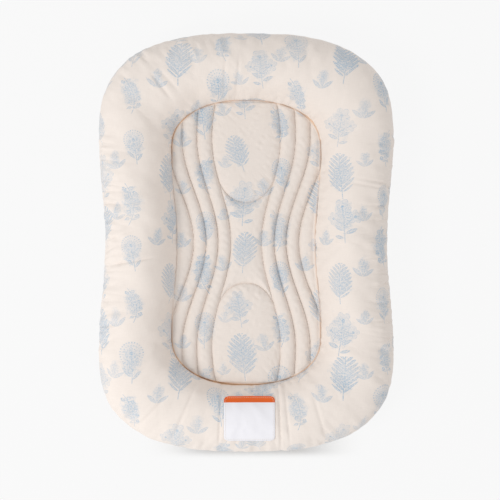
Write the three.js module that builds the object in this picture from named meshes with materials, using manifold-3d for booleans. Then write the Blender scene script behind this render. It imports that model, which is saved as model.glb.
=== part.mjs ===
// Infant lounger: a stuffed bolster ring round a quilted pad with waisted channels, in a zipped cover.
// Millimetres. +Z is up, +Y points to the head end, and the origin is on the floor below the middle.

import * as THREE from 'three';
import { mergeVertices } from 'three/addons/utils/BufferGeometryUtils.js';
import Module from 'manifold-3d';

const wasm = await Module();
wasm.setup();

// Plan of the whole lounger: a waisted rectangle whose corners are quarters of a superellipse
const loungerHalfLength = 380;
const loungerHalfWidth = 268;
const loungerWaistDepth = 11.5;
const loungerWideAt = 193;
const loungerCornerPower = 2.7;

// Plan of the quilted pad, which is also the bolster's inner edge
const padHalfLength = 260;
const padHalfWidth = 136.5;
const padWaistDepth = 11;
const padWideAt = 173;
const padCornerPower = 2.25;

// Bolster section
const loungerHeight = 100;
const widestHeight = 42;
const padSeamHeight = 34;
const floorSquash = 6;
const bolsterPower = 2.3;
const coverThickness = 1.5;
const coverTuckDepth = 7;

// Cloth underside: a flat band under the bolster and a raised middle
const baseThickness = 1.2;
const baseRise = 7;
const bandInnerShare = 0.22;
const riseShare = 0.05;
const riseHeightShare = 0.4;
const plateauShare = -0.12;

// Elastic that gathers the two long sides, just above the lower seam
const elasticWidthShares = [0.3, 0.7];
const elasticThickness = 0.8;

// Quilted pad: the height of its stitched valleys and how far the wadding puffs up between them
const valleyHeight = 32;
const channelPuff = 8;
const panelPuff = 10;
const fullChannelWidth = 22;
const faceThickness = 1.2;
const quiltInset = 1.4;
const slimmestChannel = 3;

// Stitched lines on each half of the pad, from the middle outwards: waisted curves in pairs
const stitchWideAt = 190;
const panelLineWaist = 28.4;
const panelLineWide = 62.9;
const panelLineEnd = 54.5;
const secondLineWaist = 51.4;
const secondLineWide = 90;
const secondLineEnd = 86;
const thirdLineWaist = 73;
const thirdLineWide = 117;
const thirdLineEnd = 116;
const outerLineWaist = 96;
const outerLineWide = 144.5;
const outerLineEnd = 144.5;

// Rounded tip of the head panel and of the foot panel, towards the middle
const tipCentreAt = 182;
const tipLength = 108;
const tipPower = 2.2;

// Layers under the quilted face
const backingThickness = 0.8;
const backingHeight = 26.3;
const coreTopHeight = 26;
const coreChamfer = 5;
const coreInset = 3;

// Bare sewn patch on the foot bolster
const patchWidth = 91.2;
const patchAside = 5.9;
const patchNearShare = 0.135;
const patchFarShare = 0.79;
const patchThickness = 0.6;
const patchCornerRadius = 9;
const patchLiftHeight = 0.8;

// Zip along the middle of the underside
const zipFromPadEnd = 40;
const zipSlotWidth = 12;
const tapeWidth = 14;
const tapeThickness = 0.8;
const tapeSewnEnd = 6;
const slotEndRoom = 3;
const tapeEdge = 2.9;
const toothPitch = 4;
const toothWidth = 1.7;
const toothTipWidth = 1.3;
const toothReach = 1.2;
const toothRoot = 1.6;
const spineWidth = 1;
const teethThickness = 2.2;
const stopWidth = 2;
const stopLength = 2.5;

// Zip slider and its pull
const sliderLength = 16;
const sliderWidth = 9.8;
const sliderTailWidth = 8.4;
const sliderPlate = 1.2;
const sliderFlange = 1;
const sliderNotch = 2.4;
const postLength = 4;
const postWidth = 2.4;
const postFromNose = 2;
const bailHalfLength = 4.2;
const bailThickness = 1;
const bailWidth = 2.4;
const bailWindow = 2.2;
const pullThickness = 1.4;
const pullArmLength = 7;
const pullArmWidth = 1.4;
const pullForkWidth = 6.2;
const pullLength = 28;
const pullWidth = 8;
const pullHoleRadius = 1.6;

// Gap between neighbours that touch or are sewn together, and the overrun of a cut past its piece
const restGap = 0.3;
const cutOverrun = 2;

// Fineness of the surfaces
const sideSteps = 4;
const cornerSteps = 8;
const arcSegments = 16;
const patchColumnShares = [0, 0.02, 0.07, 0.3, 0.5, 0.7, 0.93, 0.98, 1];
const patchRowCount = 8;
const slopeShare = 0.001;
const padSideRows = 5;
const padCornerTurns = [22.5, 45, 65, 80];
const tipRow = 3;
const panelShares = [0, 0.45, 0.8];
const panelPuffShares = [1, 1, 0.85];
const channelShares = [0, 0.28, 0.72];
const endPuffShares = [0, 0.6];

const loungerPlan = {
  halfLength: loungerHalfLength,
  halfWidth: loungerHalfWidth,
  waistDepth: loungerWaistDepth,
  wideAt: loungerWideAt,
  cornerPower: loungerCornerPower,
};
const padPlan = {
  halfLength: padHalfLength,
  halfWidth: padHalfWidth,
  waistDepth: padWaistDepth,
  wideAt: padWideAt,
  cornerPower: padCornerPower,
};
const quiltPlan = {
  halfLength: padHalfLength - quiltInset,
  halfWidth: padHalfWidth - quiltInset,
  waistDepth: padWaistDepth,
  wideAt: padWideAt,
  cornerPower: padCornerPower,
};
const quadrantSteps = sideSteps + cornerSteps;
const stationCount = 4 * quadrantSteps;

// Heights that several pieces share
const tapeHeight = baseRise + baseThickness + restGap;
const zipPlane = tapeHeight + tapeThickness / 2;
const sliderInside = teethThickness / 2 + restGap;
const coreBottomHeight = baseRise + baseThickness + restGap;
const grooveHeight = zipPlane + sliderInside + sliderPlate + restGap;
const sliderFace = zipPlane - sliderInside - sliderPlate;
const pullAxisHeight = sliderFace - bailWindow / 2;
const fillInset = coverThickness + 2 * restGap + elasticThickness;

// Length of the zip's rows of teeth, places along it, and the outer edge of its stops
const zipLength = 2 * (padHalfLength - zipFromPadEnd);
const sliderMiddle = zipLength / 2;
const sliderNose = sliderMiddle + sliderLength / 2;
const sliderTail = sliderMiddle - sliderLength / 2;
const topStopStart = sliderNose + restGap;
const slotHalfLength = topStopStart + stopLength + slotEndRoom;
const stopEdge = toothRoot + spineWidth;

// Half the width of a plan, at a distance along Y from its middle
function halfWidthAt(plan, along) {
  const off = Math.abs(along);
  if (off <= plan.wideAt) {
    return plan.halfWidth - (plan.waistDepth / 2) * (1 + Math.cos((Math.PI * off) / plan.wideAt));
  }
  const reach = Math.min(1, (off - plan.wideAt) / (plan.halfLength - plan.wideAt));
  return plan.halfWidth * (1 - reach ** plan.cornerPower) ** (1 / plan.cornerPower);
}

// Half the length of a plan, at a distance along X from its middle line
function halfLengthAt(plan, across) {
  const share = Math.min(1, Math.abs(across) / plan.halfWidth);
  const corner = plan.halfLength - plan.wideAt;
  return plan.wideAt + corner * (1 - share ** plan.cornerPower) ** (1 / plan.cornerPower);
}

// Point of a plan's corner, turned from the long side (0) to the end (a quarter turn)
function cornerPoint(plan, turn) {
  const power = 2 / plan.cornerPower;
  const x = plan.halfWidth * Math.max(0, Math.cos(turn)) ** power;
  const y = plan.wideAt + (plan.halfLength - plan.wideAt) * Math.sin(turn) ** power;
  return new THREE.Vector2(x, y);
}

// Point of a plan at a station of the loop, counted from +X towards +Y
function planPoint(plan, station) {
  const quadrant = Math.floor(station / quadrantSteps) % 4;
  const within = station % quadrantSteps;
  const step = quadrant % 2 ? quadrantSteps - within : within;
  let point;
  if (step <= sideSteps) {
    const y = (plan.wideAt * step) / sideSteps;
    point = new THREE.Vector2(halfWidthAt(plan, y), y);
  } else {
    point = cornerPoint(plan, ((step - sideSteps) / cornerSteps) * (Math.PI / 2));
  }
  if (quadrant === 1 || quadrant === 2) point.x = -point.x;
  if (quadrant >= 2) point.y = -point.y;
  return point;
}

function bolsterWidthAt(station) {
  return planPoint(loungerPlan, station).distanceTo(planPoint(padPlan, station));
}

// A point of the bolster's section at a station, placed in space
function placed(station, point) {
  const inner = planPoint(padPlan, station);
  const outward = planPoint(loungerPlan, station).sub(inner).normalize();
  const spot = inner.addScaledVector(outward, point.x);
  return new THREE.Vector3(spot.x, spot.y, point.y);
}

// Height of the bolster's upper side, from its seam or its widest line up to the crown
function heightAbove(aside, up) {
  const edge = aside < 0 ? padSeamHeight : widestHeight;
  return edge + (loungerHeight - edge) * up;
}

// Outside of the bolster's section: 180 degrees at the pad seam, 90 at the crown, 0 at its widest
function bolsterPoint(degrees, width) {
  const turn = THREE.MathUtils.degToRad(degrees);
  const aside = Math.sign(Math.cos(turn)) * Math.abs(Math.cos(turn)) ** (2 / bolsterPower);
  const up = Math.abs(Math.sin(turn)) ** (2 / bolsterPower);
  const below = Math.max(0, widestHeight - (widestHeight + floorSquash) * up);
  return new THREE.Vector2((width * (1 + aside)) / 2, degrees < 0 ? below : heightAbove(aside, up));
}

const coverDegrees = [180, 160, 140, 120, 100, 80, 60, 40, 20, 0, -19, -38];
const lowerDegrees = [-38, -49, -60];
const lowerSeam = coverDegrees.length;

function coverLine(width) {
  const tuck = new THREE.Vector2(0, padSeamHeight - coverTuckDepth);
  return [tuck, ...coverDegrees.map((degrees) => bolsterPoint(degrees, width))];
}

// Underside of the base from the lower seam to the edge of the raised middle
function baseLine(width) {
  return [
    ...lowerDegrees.map((degrees) => bolsterPoint(degrees, width)),
    new THREE.Vector2(bandInnerShare * width, 0),
    new THREE.Vector2(riseShare * width, riseHeightShare * baseRise),
    new THREE.Vector2(plateauShare * width, baseRise),
  ];
}

// A line moved to its right-hand side by a distance, with mitred corners
function inset(line, distance) {
  const normals = line.slice(1).map((point, i) => {
    const along = point.clone().sub(line[i]).normalize();
    return new THREE.Vector2(along.y, -along.x);
  });
  return line.map((point, i) => {
    const before = normals[Math.max(0, i - 1)];
    const after = normals[Math.min(normals.length - 1, i)];
    const middle = before.clone().add(after).normalize();
    return point.clone().addScaledVector(middle, distance / middle.dot(after));
  });
}

// A line whose first or last point is drawn back along it, to leave half a gap at a seam
function drawnBack(line, atStart) {
  const made = line.map((point) => point.clone());
  const [end, next] = atStart ? [made[0], made[1]] : [made.at(-1), made.at(-2)];
  end.addScaledVector(next.clone().sub(end).normalize(), restGap / 2);
  return made;
}

// Geometry from points and triangles, turned so that its faces point out
function bodyOf(points, triangles) {
  const corner = triangles.map((i) => points[i]);
  let volume = 0;
  for (let i = 0; i < corner.length; i += 3) {
    volume += corner[i].dot(corner[i + 1].clone().cross(corner[i + 2]));
  }
  const index = volume < 0 ? triangles.slice().reverse() : triangles;
  return new THREE.BufferGeometry().setFromPoints(points).setIndex(index);
}

// Two triangles for each cell between two rows of point numbers
function between(rowA, rowB, closed) {
  const cells = closed ? rowA.length : rowA.length - 1;
  const triangles = [];
  for (let i = 0; i < cells; i += 1) {
    const next = (i + 1) % rowA.length;
    triangles.push(rowA[i], rowB[i], rowB[next], rowA[i], rowB[next], rowA[next]);
  }
  return triangles;
}

const numbered = (count, from) => Array.from({ length: count }, (_, i) => from + i);

// Ring whose closed section is given at every station of the loop
function ringBody(sectionAt) {
  const sections = numbered(stationCount, 0).map((station) => sectionAt(station));
  const size = sections[0].length;
  const rows = sections.map((_, i) => numbered(size, i * size));
  const triangles = rows.flatMap((row, i) => between(row, rows[(i + 1) % stationCount], true));
  return bodyOf(sections.flat(), triangles);
}

// Disc whose open section runs, at every station, from above the middle out and back below it
function discBody(sectionAt, topHeight, bottomHeight) {
  const sections = numbered(stationCount, 0).map((station) => sectionAt(station));
  const size = sections[0].length;
  const rows = sections.map((_, i) => numbered(size, i * size));
  const points = sections.flat();
  const topPole = points.push(new THREE.Vector3(0, 0, topHeight)) - 1;
  const bottomPole = points.push(new THREE.Vector3(0, 0, bottomHeight)) - 1;
  const triangles = rows.flatMap((row, i) => {
    const next = rows[(i + 1) % stationCount];
    const caps = [topPole, next[0], row[0], bottomPole, row.at(-1), next.at(-1)];
    return [...between(row, next, false), ...caps];
  });
  return bodyOf(points, triangles);
}

// Strip whose closed section is given at some of the stations, with flat ends
function stripBody(sections) {
  const size = sections[0].length;
  const rows = sections.map((_, i) => numbered(size, i * size));
  const triangles = rows.slice(1).flatMap((row, i) => between(rows[i], row, true));
  for (let i = 1; i < size - 1; i += 1) {
    triangles.push(rows[0][0], rows[0][i], rows[0][i + 1]);
    triangles.push(rows.at(-1)[0], rows.at(-1)[i + 1], rows.at(-1)[i]);
  }
  return bodyOf(sections.flat(), triangles);
}

// The numbers of the points round the edge of a grid, in order
function rimOf(rows) {
  const last = rows.length - 1;
  const sides = rows.slice(1, last);
  return [
    ...rows[0],
    ...sides.map((row) => row.at(-1)),
    ...rows[last].slice().reverse(),
    ...sides.map((row) => row[0]).reverse(),
  ];
}

const sheetOf = (rows) => rows.slice(1).flatMap((row, i) => between(rows[i], row, false));

// Body between an upper grid and a lower grid of the same size
function layerBody(upper, lower) {
  const size = upper[0].length;
  const rows = upper.map((_, i) => numbered(size, i * size));
  const below = rows.map((row) => row.map((i) => i + upper.length * size));
  const triangles = [
    ...sheetOf(rows),
    ...sheetOf(below).reverse(),
    ...between(rimOf(below), rimOf(rows), true),
  ];
  return bodyOf([...upper.flat(), ...lower.flat()], triangles);
}

// Body between an upper grid and a flat bottom
function moundBody(upper, bottomHeight) {
  const size = upper[0].length;
  const rows = upper.map((_, i) => numbered(size, i * size));
  const rim = rimOf(rows);
  const points = upper.flat();
  const foot = rim.map((i) => points.push(points[i].clone().setZ(bottomHeight)) - 1);
  const contour = rim.map((i) => new THREE.Vector2(points[i].x, points[i].y));
  const floor = THREE.ShapeUtils.triangulateShape(contour, []).flat().map((i) => foot[i]);
  const turned = THREE.ShapeUtils.isClockWise(contour) ? floor.slice().reverse() : floor;
  return bodyOf(points, [...sheetOf(rows), ...between(foot, rim, true), ...turned]);
}

// Solids for cutting and joining
function solidOf(geometry) {
  const bare = geometry.index ? geometry.toNonIndexed() : geometry.clone();
  const onlyPlaces = new THREE.BufferGeometry().setAttribute('position', bare.getAttribute('position'));
  const merged = mergeVertices(onlyPlaces);
  const mesh = new wasm.Mesh({
    numProp: 3,
    vertProperties: new Float32Array(merged.attributes.position.array),
    triVerts: new Uint32Array(merged.index.array),
  });
  return new wasm.Manifold(mesh);
}

function geometryOf(solid) {
  const mesh = solid.getMesh();
  const places = new Float32Array(mesh.numVert * 3);
  for (let i = 0; i < mesh.numVert; i += 1) {
    const from = i * mesh.numProp;
    places.set(mesh.vertProperties.subarray(from, from + 3), i * 3);
  }
  const index = new THREE.BufferAttribute(new Uint32Array(mesh.triVerts), 1);
  return new THREE.BufferGeometry()
    .setAttribute('position', new THREE.BufferAttribute(places, 3))
    .setIndex(index);
}

const joined = (parts) => geometryOf(parts.map(solidOf).reduce((sum, part) => sum.add(part)));
const cut = (body, tool) => geometryOf(solidOf(body).subtract(solidOf(tool)));

// Box between two corners
function blockBetween(low, high) {
  const size = high.clone().sub(low);
  const middle = high.clone().add(low).multiplyScalar(0.5);
  return new THREE.BoxGeometry(size.x, size.y, size.z).translate(middle.x, middle.y, middle.z);
}

function plate(shape, lowHeight, thickness) {
  const settings = { depth: thickness, bevelEnabled: false, curveSegments: arcSegments };
  return new THREE.ExtrudeGeometry(shape, settings).translate(0, 0, lowHeight);
}

// Cover and base follow one line, parted at the lower seam
function clothLine(width) {
  return [...coverLine(width), ...baseLine(width).slice(1)];
}

// Printed cover of the bolster, from its tucked inner edge over the crown to the lower seam
function bolsterCover() {
  return ringBody((station) => {
    const outside = clothLine(bolsterWidthAt(station));
    const lines = [outside, inset(outside, coverThickness)];
    const [over, under] = lines.map((line) => drawnBack(line.slice(0, lowerSeam + 1), false));
    return [...over, ...under.reverse()].map((point) => placed(station, point));
  });
}

// Fibre filling of the bolster, which stands on the base
function bolsterFill() {
  return ringBody((station) => {
    const outside = clothLine(bolsterWidthAt(station));
    const over = inset(outside, fillInset).slice(1, lowerSeam + 1);
    const floor = inset(outside, baseThickness + restGap).slice(lowerSeam + 1);
    const [rise, plateau] = floor.slice(-2);
    const reach = (rise.x - over[0].x) / (rise.x - plateau.x);
    const foot = rise.clone().lerp(plateau, reach);
    return [...over, ...floor.slice(0, -1), foot].map((point) => placed(station, point));
  });
}

// Elastic inside the cover along one long side; side is 1 on the right and -1 on the left
function sideElastic(side) {
  const sections = numbered(2 * sideSteps + 1, -sideSteps).map((step) => {
    const station = (step + (side > 0 ? 0 : stationCount / 2) + stationCount) % stationCount;
    const [upper, lower] = coverLine(bolsterWidthAt(station)).slice(-2);
    const ends = elasticWidthShares.map((share) => upper.clone().lerp(lower, share));
    const near = inset(ends, coverThickness + restGap);
    const far = inset(ends, coverThickness + restGap + elasticThickness);
    return [...near, ...far.reverse()].map((point) => placed(station, point));
  });
  return stripBody(sections);
}

// Whole cloth underside, before it is parted at the zip
function baseSheet() {
  const sectionAt = (station) => {
    const outside = clothLine(bolsterWidthAt(station));
    const lines = [outside, inset(outside, baseThickness)];
    const [under, over] = lines.map((line) => drawnBack(line.slice(lowerSeam), true));
    return [...over.reverse(), ...under].map((point) => placed(station, point));
  };
  return discBody(sectionAt, baseRise + baseThickness, baseRise);
}

// One half of the underside; the slot for the zip and half the centre seam are cut from it
function basePanel(side) {
  const reach = loungerHalfLength + cutOverrun;
  const low = -cutOverrun;
  const high = loungerHeight;
  const seamEdge = (side * restGap) / 2;
  const farEdge = -side * (loungerHalfWidth + cutOverrun);
  const otherHalf = blockBetween(
    new THREE.Vector3(Math.min(seamEdge, farEdge), -reach, low),
    new THREE.Vector3(Math.max(seamEdge, farEdge), reach, high),
  );
  const slot = blockBetween(
    new THREE.Vector3(-zipSlotWidth / 2, -slotHalfLength, low),
    new THREE.Vector3(zipSlotWidth / 2, slotHalfLength, high),
  );
  return cut(cut(baseSheet(), otherHalf), slot);
}

// Firm core under the quilted pad, grooved below for the zip
function corePad() {
  const line = [
    new THREE.Vector2(-coreInset - coreChamfer, coreTopHeight),
    new THREE.Vector2(-coreInset, coreTopHeight - coreChamfer),
    new THREE.Vector2(-coreInset, coreBottomHeight + coreChamfer),
    new THREE.Vector2(-coreInset - coreChamfer, coreBottomHeight),
  ];
  const sectionAt = (station) => line.map((point) => placed(station, point));
  const grooveHalfWidth = tapeEdge + tapeWidth + cutOverrun;
  const grooveHalfLength = slotHalfLength + tapeSewnEnd + cutOverrun;
  const groove = blockBetween(
    new THREE.Vector3(-grooveHalfWidth, -grooveHalfLength, coreBottomHeight - cutOverrun),
    new THREE.Vector3(grooveHalfWidth, grooveHalfLength, grooveHeight),
  );
  return cut(discBody(sectionAt, coreTopHeight, coreBottomHeight), groove);
}

function quiltBacking() {
  const line = [
    new THREE.Vector2(-quiltInset, backingHeight + backingThickness),
    new THREE.Vector2(-quiltInset, backingHeight),
  ];
  const sectionAt = (station) => line.map((point) => placed(station, point));
  return discBody(sectionAt, backingHeight + backingThickness, backingHeight);
}

const stitchedLines = [
  { waist: panelLineWaist, wide: panelLineWide, end: panelLineEnd },
  { waist: secondLineWaist, wide: secondLineWide, end: secondLineEnd },
  { waist: thirdLineWaist, wide: thirdLineWide, end: thirdLineEnd },
  { waist: outerLineWaist, wide: outerLineWide, end: outerLineEnd },
];

// Distance of a stitched line from the middle line of the pad
function stitchAt(line, along) {
  const off = Math.abs(along);
  if (off <= stitchWideAt) {
    const swell = (line.wide - line.waist) / 2;
    return line.wide - swell * (1 + Math.cos((Math.PI * off) / stitchWideAt));
  }
  const reach = (off - stitchWideAt) / (padHalfLength - stitchWideAt);
  return line.wide - (line.wide - line.end) * reach ** 2;
}

// How far from the middle the rounded tip of an end panel lies, at a distance across
function tipAt(across) {
  const share = Math.min(1, Math.abs(across) / panelLineWide);
  return tipCentreAt - tipLength * (1 - share ** tipPower) ** (1 / tipPower);
}

// Columns of the quilt from the middle line to the edge: which channel, and where across it
const quiltColumns = [
  ...panelShares.map((share) => ({ channel: 0, share })),
  ...stitchedLines.flatMap((_, i) => channelShares.map((share) => ({ channel: i + 1, share }))),
  { channel: stitchedLines.length, share: 1 },
];

// Rows of the quilt from the middle to the head end
const quiltRows = [
  ...numbered(padSideRows + 1, 0).map((row) => (padWideAt * row) / padSideRows),
  ...padCornerTurns.map((turn) => cornerPoint(quiltPlan, THREE.MathUtils.degToRad(turn)).y),
];
const rowPuffShare = (row) => endPuffShares[quiltRows.length - 1 - row] ?? 1;

// The lines that bound the channels at a distance along the pad, from the middle line to its edge
function boundsAt(along) {
  const bounds = [halfWidthAt(quiltPlan, along)];
  for (const line of stitchedLines.slice().reverse()) {
    bounds.unshift(Math.min(stitchAt(line, along), bounds[0] - slimmestChannel));
  }
  return [0, ...bounds];
}

// A point of the quilted face on the +X, +Y quarter
function quiltPoint(row, column) {
  const { channel, share } = quiltColumns[column];
  let along = quiltRows[row];
  if (channel === 0 && row <= padSideRows) {
    const tip = tipAt(share * stitchAt(stitchedLines[0], tipCentreAt - tipLength));
    const stretch = (row - tipRow) / (padSideRows - tipRow);
    along = row <= tipRow ? (tip * row) / tipRow : tip + (padWideAt - tip) * stretch;
  }
  const bounds = boundsAt(along);
  const width = bounds[channel + 1] - bounds[channel];
  const across = bounds[channel] + share * width;
  const stitched = share === 1 || (share === 0 && channel > 0) || (channel === 0 && row === tipRow);
  let puff = channelPuff * Math.min(1, width / fullChannelWidth);
  if (channel === 0) puff = panelPuff * panelPuffShares[column];
  return new THREE.Vector3(across, along, valleyHeight + (stitched ? 0 : puff * rowPuffShare(row)));
}

// Grid of the whole quilted face, mirrored from one quarter
function quiltGrid(drop) {
  const lastRow = quiltRows.length - 1;
  const lastColumn = quiltColumns.length - 1;
  return numbered(2 * lastRow + 1, -lastRow).map((row) =>
    numbered(2 * lastColumn + 1, -lastColumn).map((column) => {
      const point = quiltPoint(Math.abs(row), Math.abs(column));
      const x = column < 0 ? -point.x : point.x;
      const y = row < 0 ? -point.y : point.y;
      return new THREE.Vector3(x, y, point.z - drop);
    }),
  );
}

const quiltFace = () => layerBody(quiltGrid(0), quiltGrid(faceThickness));
const quiltWadding = () =>
  moundBody(quiltGrid(faceThickness + restGap), backingHeight + backingThickness + restGap);

// Point of the bolster's upper side at a share of its width
function crownAt(share, width) {
  const aside = 2 * share - 1;
  const up = (1 - Math.abs(aside) ** bolsterPower) ** (1 / bolsterPower);
  return new THREE.Vector2(share * width, heightAbove(aside, up));
}

// A point that lies a lift above the crown of the foot bolster
function abovePatchSeat(x, share, lift) {
  const inner = halfLengthAt(padPlan, x);
  const width = halfLengthAt(loungerPlan, x) - inner;
  const point = crownAt(share, width);
  const ahead = crownAt(share + slopeShare, width).sub(point).normalize();
  const raised = point.add(new THREE.Vector2(-ahead.y, ahead.x).multiplyScalar(lift));
  return new THREE.Vector3(x, -(inner + raised.x), raised.y);
}

// Sewn patch that follows the crown of the foot bolster, with its corners near the pad rounded
function labelPatch() {
  const sheet = (lift) => numbered(patchRowCount + 1, 0).map((row) =>
    patchColumnShares.map((columnShare) => {
      const fromMiddle = patchWidth * (columnShare - 1 / 2);
      const overCorner = Math.max(0, Math.abs(fromMiddle) - (patchWidth / 2 - patchCornerRadius));
      const rounding = Math.sqrt(Math.max(0, patchCornerRadius ** 2 - overCorner ** 2));
      const cornerDrop = patchCornerRadius - rounding;
      const x = patchAside + fromMiddle;
      const bolsterWidth = halfLengthAt(loungerPlan, x) - halfLengthAt(padPlan, x);
      const nearShare = patchNearShare + cornerDrop / bolsterWidth;
      const share = nearShare + ((patchFarShare - nearShare) * row) / patchRowCount;
      return abovePatchSeat(x, share, lift);
    }),
  );
  return layerBody(sheet(patchLiftHeight + patchThickness), sheet(patchLiftHeight));
}

function zipTape(side) {
  const halfLength = slotHalfLength + tapeSewnEnd;
  const near = side * tapeEdge;
  const far = side * (tapeEdge + tapeWidth);
  return blockBetween(
    new THREE.Vector3(Math.min(near, far), -halfLength, tapeHeight),
    new THREE.Vector3(Math.max(near, far), halfLength, tapeHeight + tapeThickness),
  );
}

// One row of moulded teeth on its spine; the two rows mesh half a pitch apart
function zipTeeth(side) {
  const count = Math.floor(zipLength / toothPitch);
  const start = -zipLength / 2;
  const shape = new THREE.Shape();
  shape.moveTo(side * (toothRoot + spineWidth), start);
  shape.lineTo(side * toothRoot, start);
  const pitchShare = side > 0 ? 1 / 4 : 3 / 4;
  for (let i = 0; i < count; i += 1) {
    const middle = start + toothPitch * (i + pitchShare);
    shape.lineTo(side * toothRoot, middle - toothWidth / 2);
    shape.lineTo(-side * toothReach, middle - toothTipWidth / 2);
    shape.lineTo(-side * toothReach, middle + toothTipWidth / 2);
    shape.lineTo(side * toothRoot, middle + toothWidth / 2);
  }
  shape.lineTo(side * toothRoot, zipLength / 2);
  shape.lineTo(side * (toothRoot + spineWidth), zipLength / 2);
  return plate(shape, zipPlane - teethThickness / 2, teethThickness);
}

function zipStop(left, right, from) {
  return blockBetween(
    new THREE.Vector3(left, from, zipPlane - teethThickness / 2),
    new THREE.Vector3(right, from + stopLength, zipPlane + teethThickness / 2),
  );
}

// Shield-shaped outline of the slider's two plates, wider at the nose and notched between its shoulders
function sliderOutline() {
  const shape = new THREE.Shape();
  shape.moveTo(-sliderTailWidth / 2, sliderTail);
  shape.lineTo(sliderTailWidth / 2, sliderTail);
  shape.lineTo(sliderWidth / 2, sliderMiddle);
  shape.lineTo(sliderWidth / 2, sliderNose - sliderNotch);
  shape.quadraticCurveTo(sliderWidth / 2, sliderNose, sliderWidth / 4, sliderNose);
  shape.lineTo(0, sliderNose - sliderNotch / 2);
  shape.lineTo(-sliderWidth / 4, sliderNose);
  shape.quadraticCurveTo(-sliderWidth / 2, sliderNose, -sliderWidth / 2, sliderNose - sliderNotch);
  shape.lineTo(-sliderWidth / 2, sliderMiddle);
  return shape;
}

function zipSlider() {
  const shape = sliderOutline();
  const tapeRoom = tapeThickness / 2 + restGap;
  const flangeHeight = sliderInside - tapeRoom + sliderPlate;
  const inward = sliderTailWidth / 2 - sliderFlange;
  const whole = plate(shape, sliderFace, flangeHeight);
  const upper = plate(shape, zipPlane + tapeRoom, flangeHeight);
  const channel = blockBetween(
    new THREE.Vector3(-inward, sliderTail - cutOverrun, zipPlane - sliderInside),
    new THREE.Vector3(inward, sliderNose + cutOverrun, zipPlane + sliderInside),
  );
  const postFront = sliderNose - postFromNose;
  const bailTop = sliderFace + sliderPlate / 2;
  const bailBottom = sliderFace - bailWindow - bailThickness;
  const windowHalfLength = bailHalfLength - bailThickness;
  const post = blockBetween(
    new THREE.Vector3(-postWidth / 2, postFront - postLength, sliderFace),
    new THREE.Vector3(postWidth / 2, postFront, zipPlane + sliderInside + sliderPlate),
  );
  const bail = cut(
    blockBetween(
      new THREE.Vector3(-bailWidth / 2, sliderMiddle - bailHalfLength, bailBottom),
      new THREE.Vector3(bailWidth / 2, sliderMiddle + bailHalfLength, bailTop),
    ),
    blockBetween(
      new THREE.Vector3(-bailWidth, sliderMiddle - windowHalfLength, sliderFace - bailWindow),
      new THREE.Vector3(bailWidth, sliderMiddle + windowHalfLength, sliderFace),
    ),
  );
  return joined([cut(whole, channel), cut(upper, channel), post, bail]);
}

// Pull with a cross pin held under the slider's bail, lying back along the closed zip
function zipPull() {
  const shape = new THREE.Shape();
  const fork = pullForkWidth / 2;
  const slot = fork - pullArmWidth;
  const half = pullWidth / 2;
  const shoulder = -pullArmLength;
  shape.moveTo(slot, 0);
  shape.lineTo(slot, shoulder);
  shape.lineTo(-slot, shoulder);
  shape.lineTo(-slot, 0);
  shape.lineTo(-fork, 0);
  shape.lineTo(-fork, shoulder);
  shape.lineTo(-half, shoulder - half);
  shape.lineTo(-half, half - pullLength);
  shape.absarc(0, half - pullLength, half, Math.PI, 2 * Math.PI, false);
  shape.lineTo(half, shoulder - half);
  shape.lineTo(fork, shoulder);
  shape.lineTo(fork, 0);
  const hole = new THREE.Path();
  hole.absarc(0, half - pullLength, pullHoleRadius, 0, 2 * Math.PI, true);
  shape.holes.push(hole);
  const paddle = plate(shape, -pullThickness / 2, pullThickness);
  const pinRadius = pullThickness / 2;
  const pin = new THREE.CylinderGeometry(pinRadius, pinRadius, pullForkWidth, arcSegments);
  pin.rotateZ(Math.PI / 2);
  return joined([paddle, pin]).translate(0, sliderMiddle, pullAxisHeight);
}

const printedCloth = { color: 0xf0e4da, roughness: 0.92, metalness: 0 };
const plainCloth = { color: 0xf3efe9, roughness: 0.95, metalness: 0 };
const filling = { color: 0xf8f8f6, roughness: 1, metalness: 0 };
const foam = { color: 0xf1ead6, roughness: 1, metalness: 0 };
const patchCloth = { color: 0xf7f5f8, roughness: 0.6, metalness: 0 };
const zipCloth = { color: 0xefe6dc, roughness: 0.9, metalness: 0 };
const zipPlastic = { color: 0xf2ebe2, roughness: 0.45, metalness: 0 };
const zipMetal = { color: 0xd9d3c8, roughness: 0.35, metalness: 0.6 };

const lounger = new THREE.Group();

function add(name, geometry, finish) {
  const mesh = new THREE.Mesh(geometry, new THREE.MeshStandardMaterial(finish));
  mesh.name = name;
  lounger.add(mesh);
}

add('bolster_cover', bolsterCover(), printedCloth);
add('bolster_fill', bolsterFill(), filling);
add('side_elastic_left', sideElastic(-1), plainCloth);
add('side_elastic_right', sideElastic(1), plainCloth);
add('quilt_face', quiltFace(), printedCloth);
add('quilt_wadding', quiltWadding(), filling);
add('quilt_backing', quiltBacking(), plainCloth);
add('core_pad', corePad(), foam);
add('base_panel_left', basePanel(-1), plainCloth);
add('base_panel_right', basePanel(1), plainCloth);
add('label_patch', labelPatch(), patchCloth);
add('zip_tape_left', zipTape(-1), zipCloth);
add('zip_tape_right', zipTape(1), zipCloth);
add('zip_teeth_left', zipTeeth(-1), zipPlastic);
add('zip_teeth_right', zipTeeth(1), zipPlastic);
add('zip_top_stop_left', zipStop(-stopEdge, stopWidth - stopEdge, topStopStart), zipPlastic);
add('zip_top_stop_right', zipStop(stopEdge - stopWidth, stopEdge, topStopStart), zipPlastic);
add('zip_bottom_stop', zipStop(-stopEdge, stopEdge, -zipLength / 2 - stopLength - restGap), zipPlastic);
add('zip_slider', zipSlider(), zipMetal);
add('zip_pull', zipPull(), zipMetal);

export default lounger;
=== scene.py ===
"""Looks of the infant lounger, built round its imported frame.

Metres. +Z is up, +Y points to the head end, and the origin is on the floor below the middle.
"""

import math

import bmesh
import bpy
import numpy as np
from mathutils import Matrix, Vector
from mathutils.bvhtree import BVHTree


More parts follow.
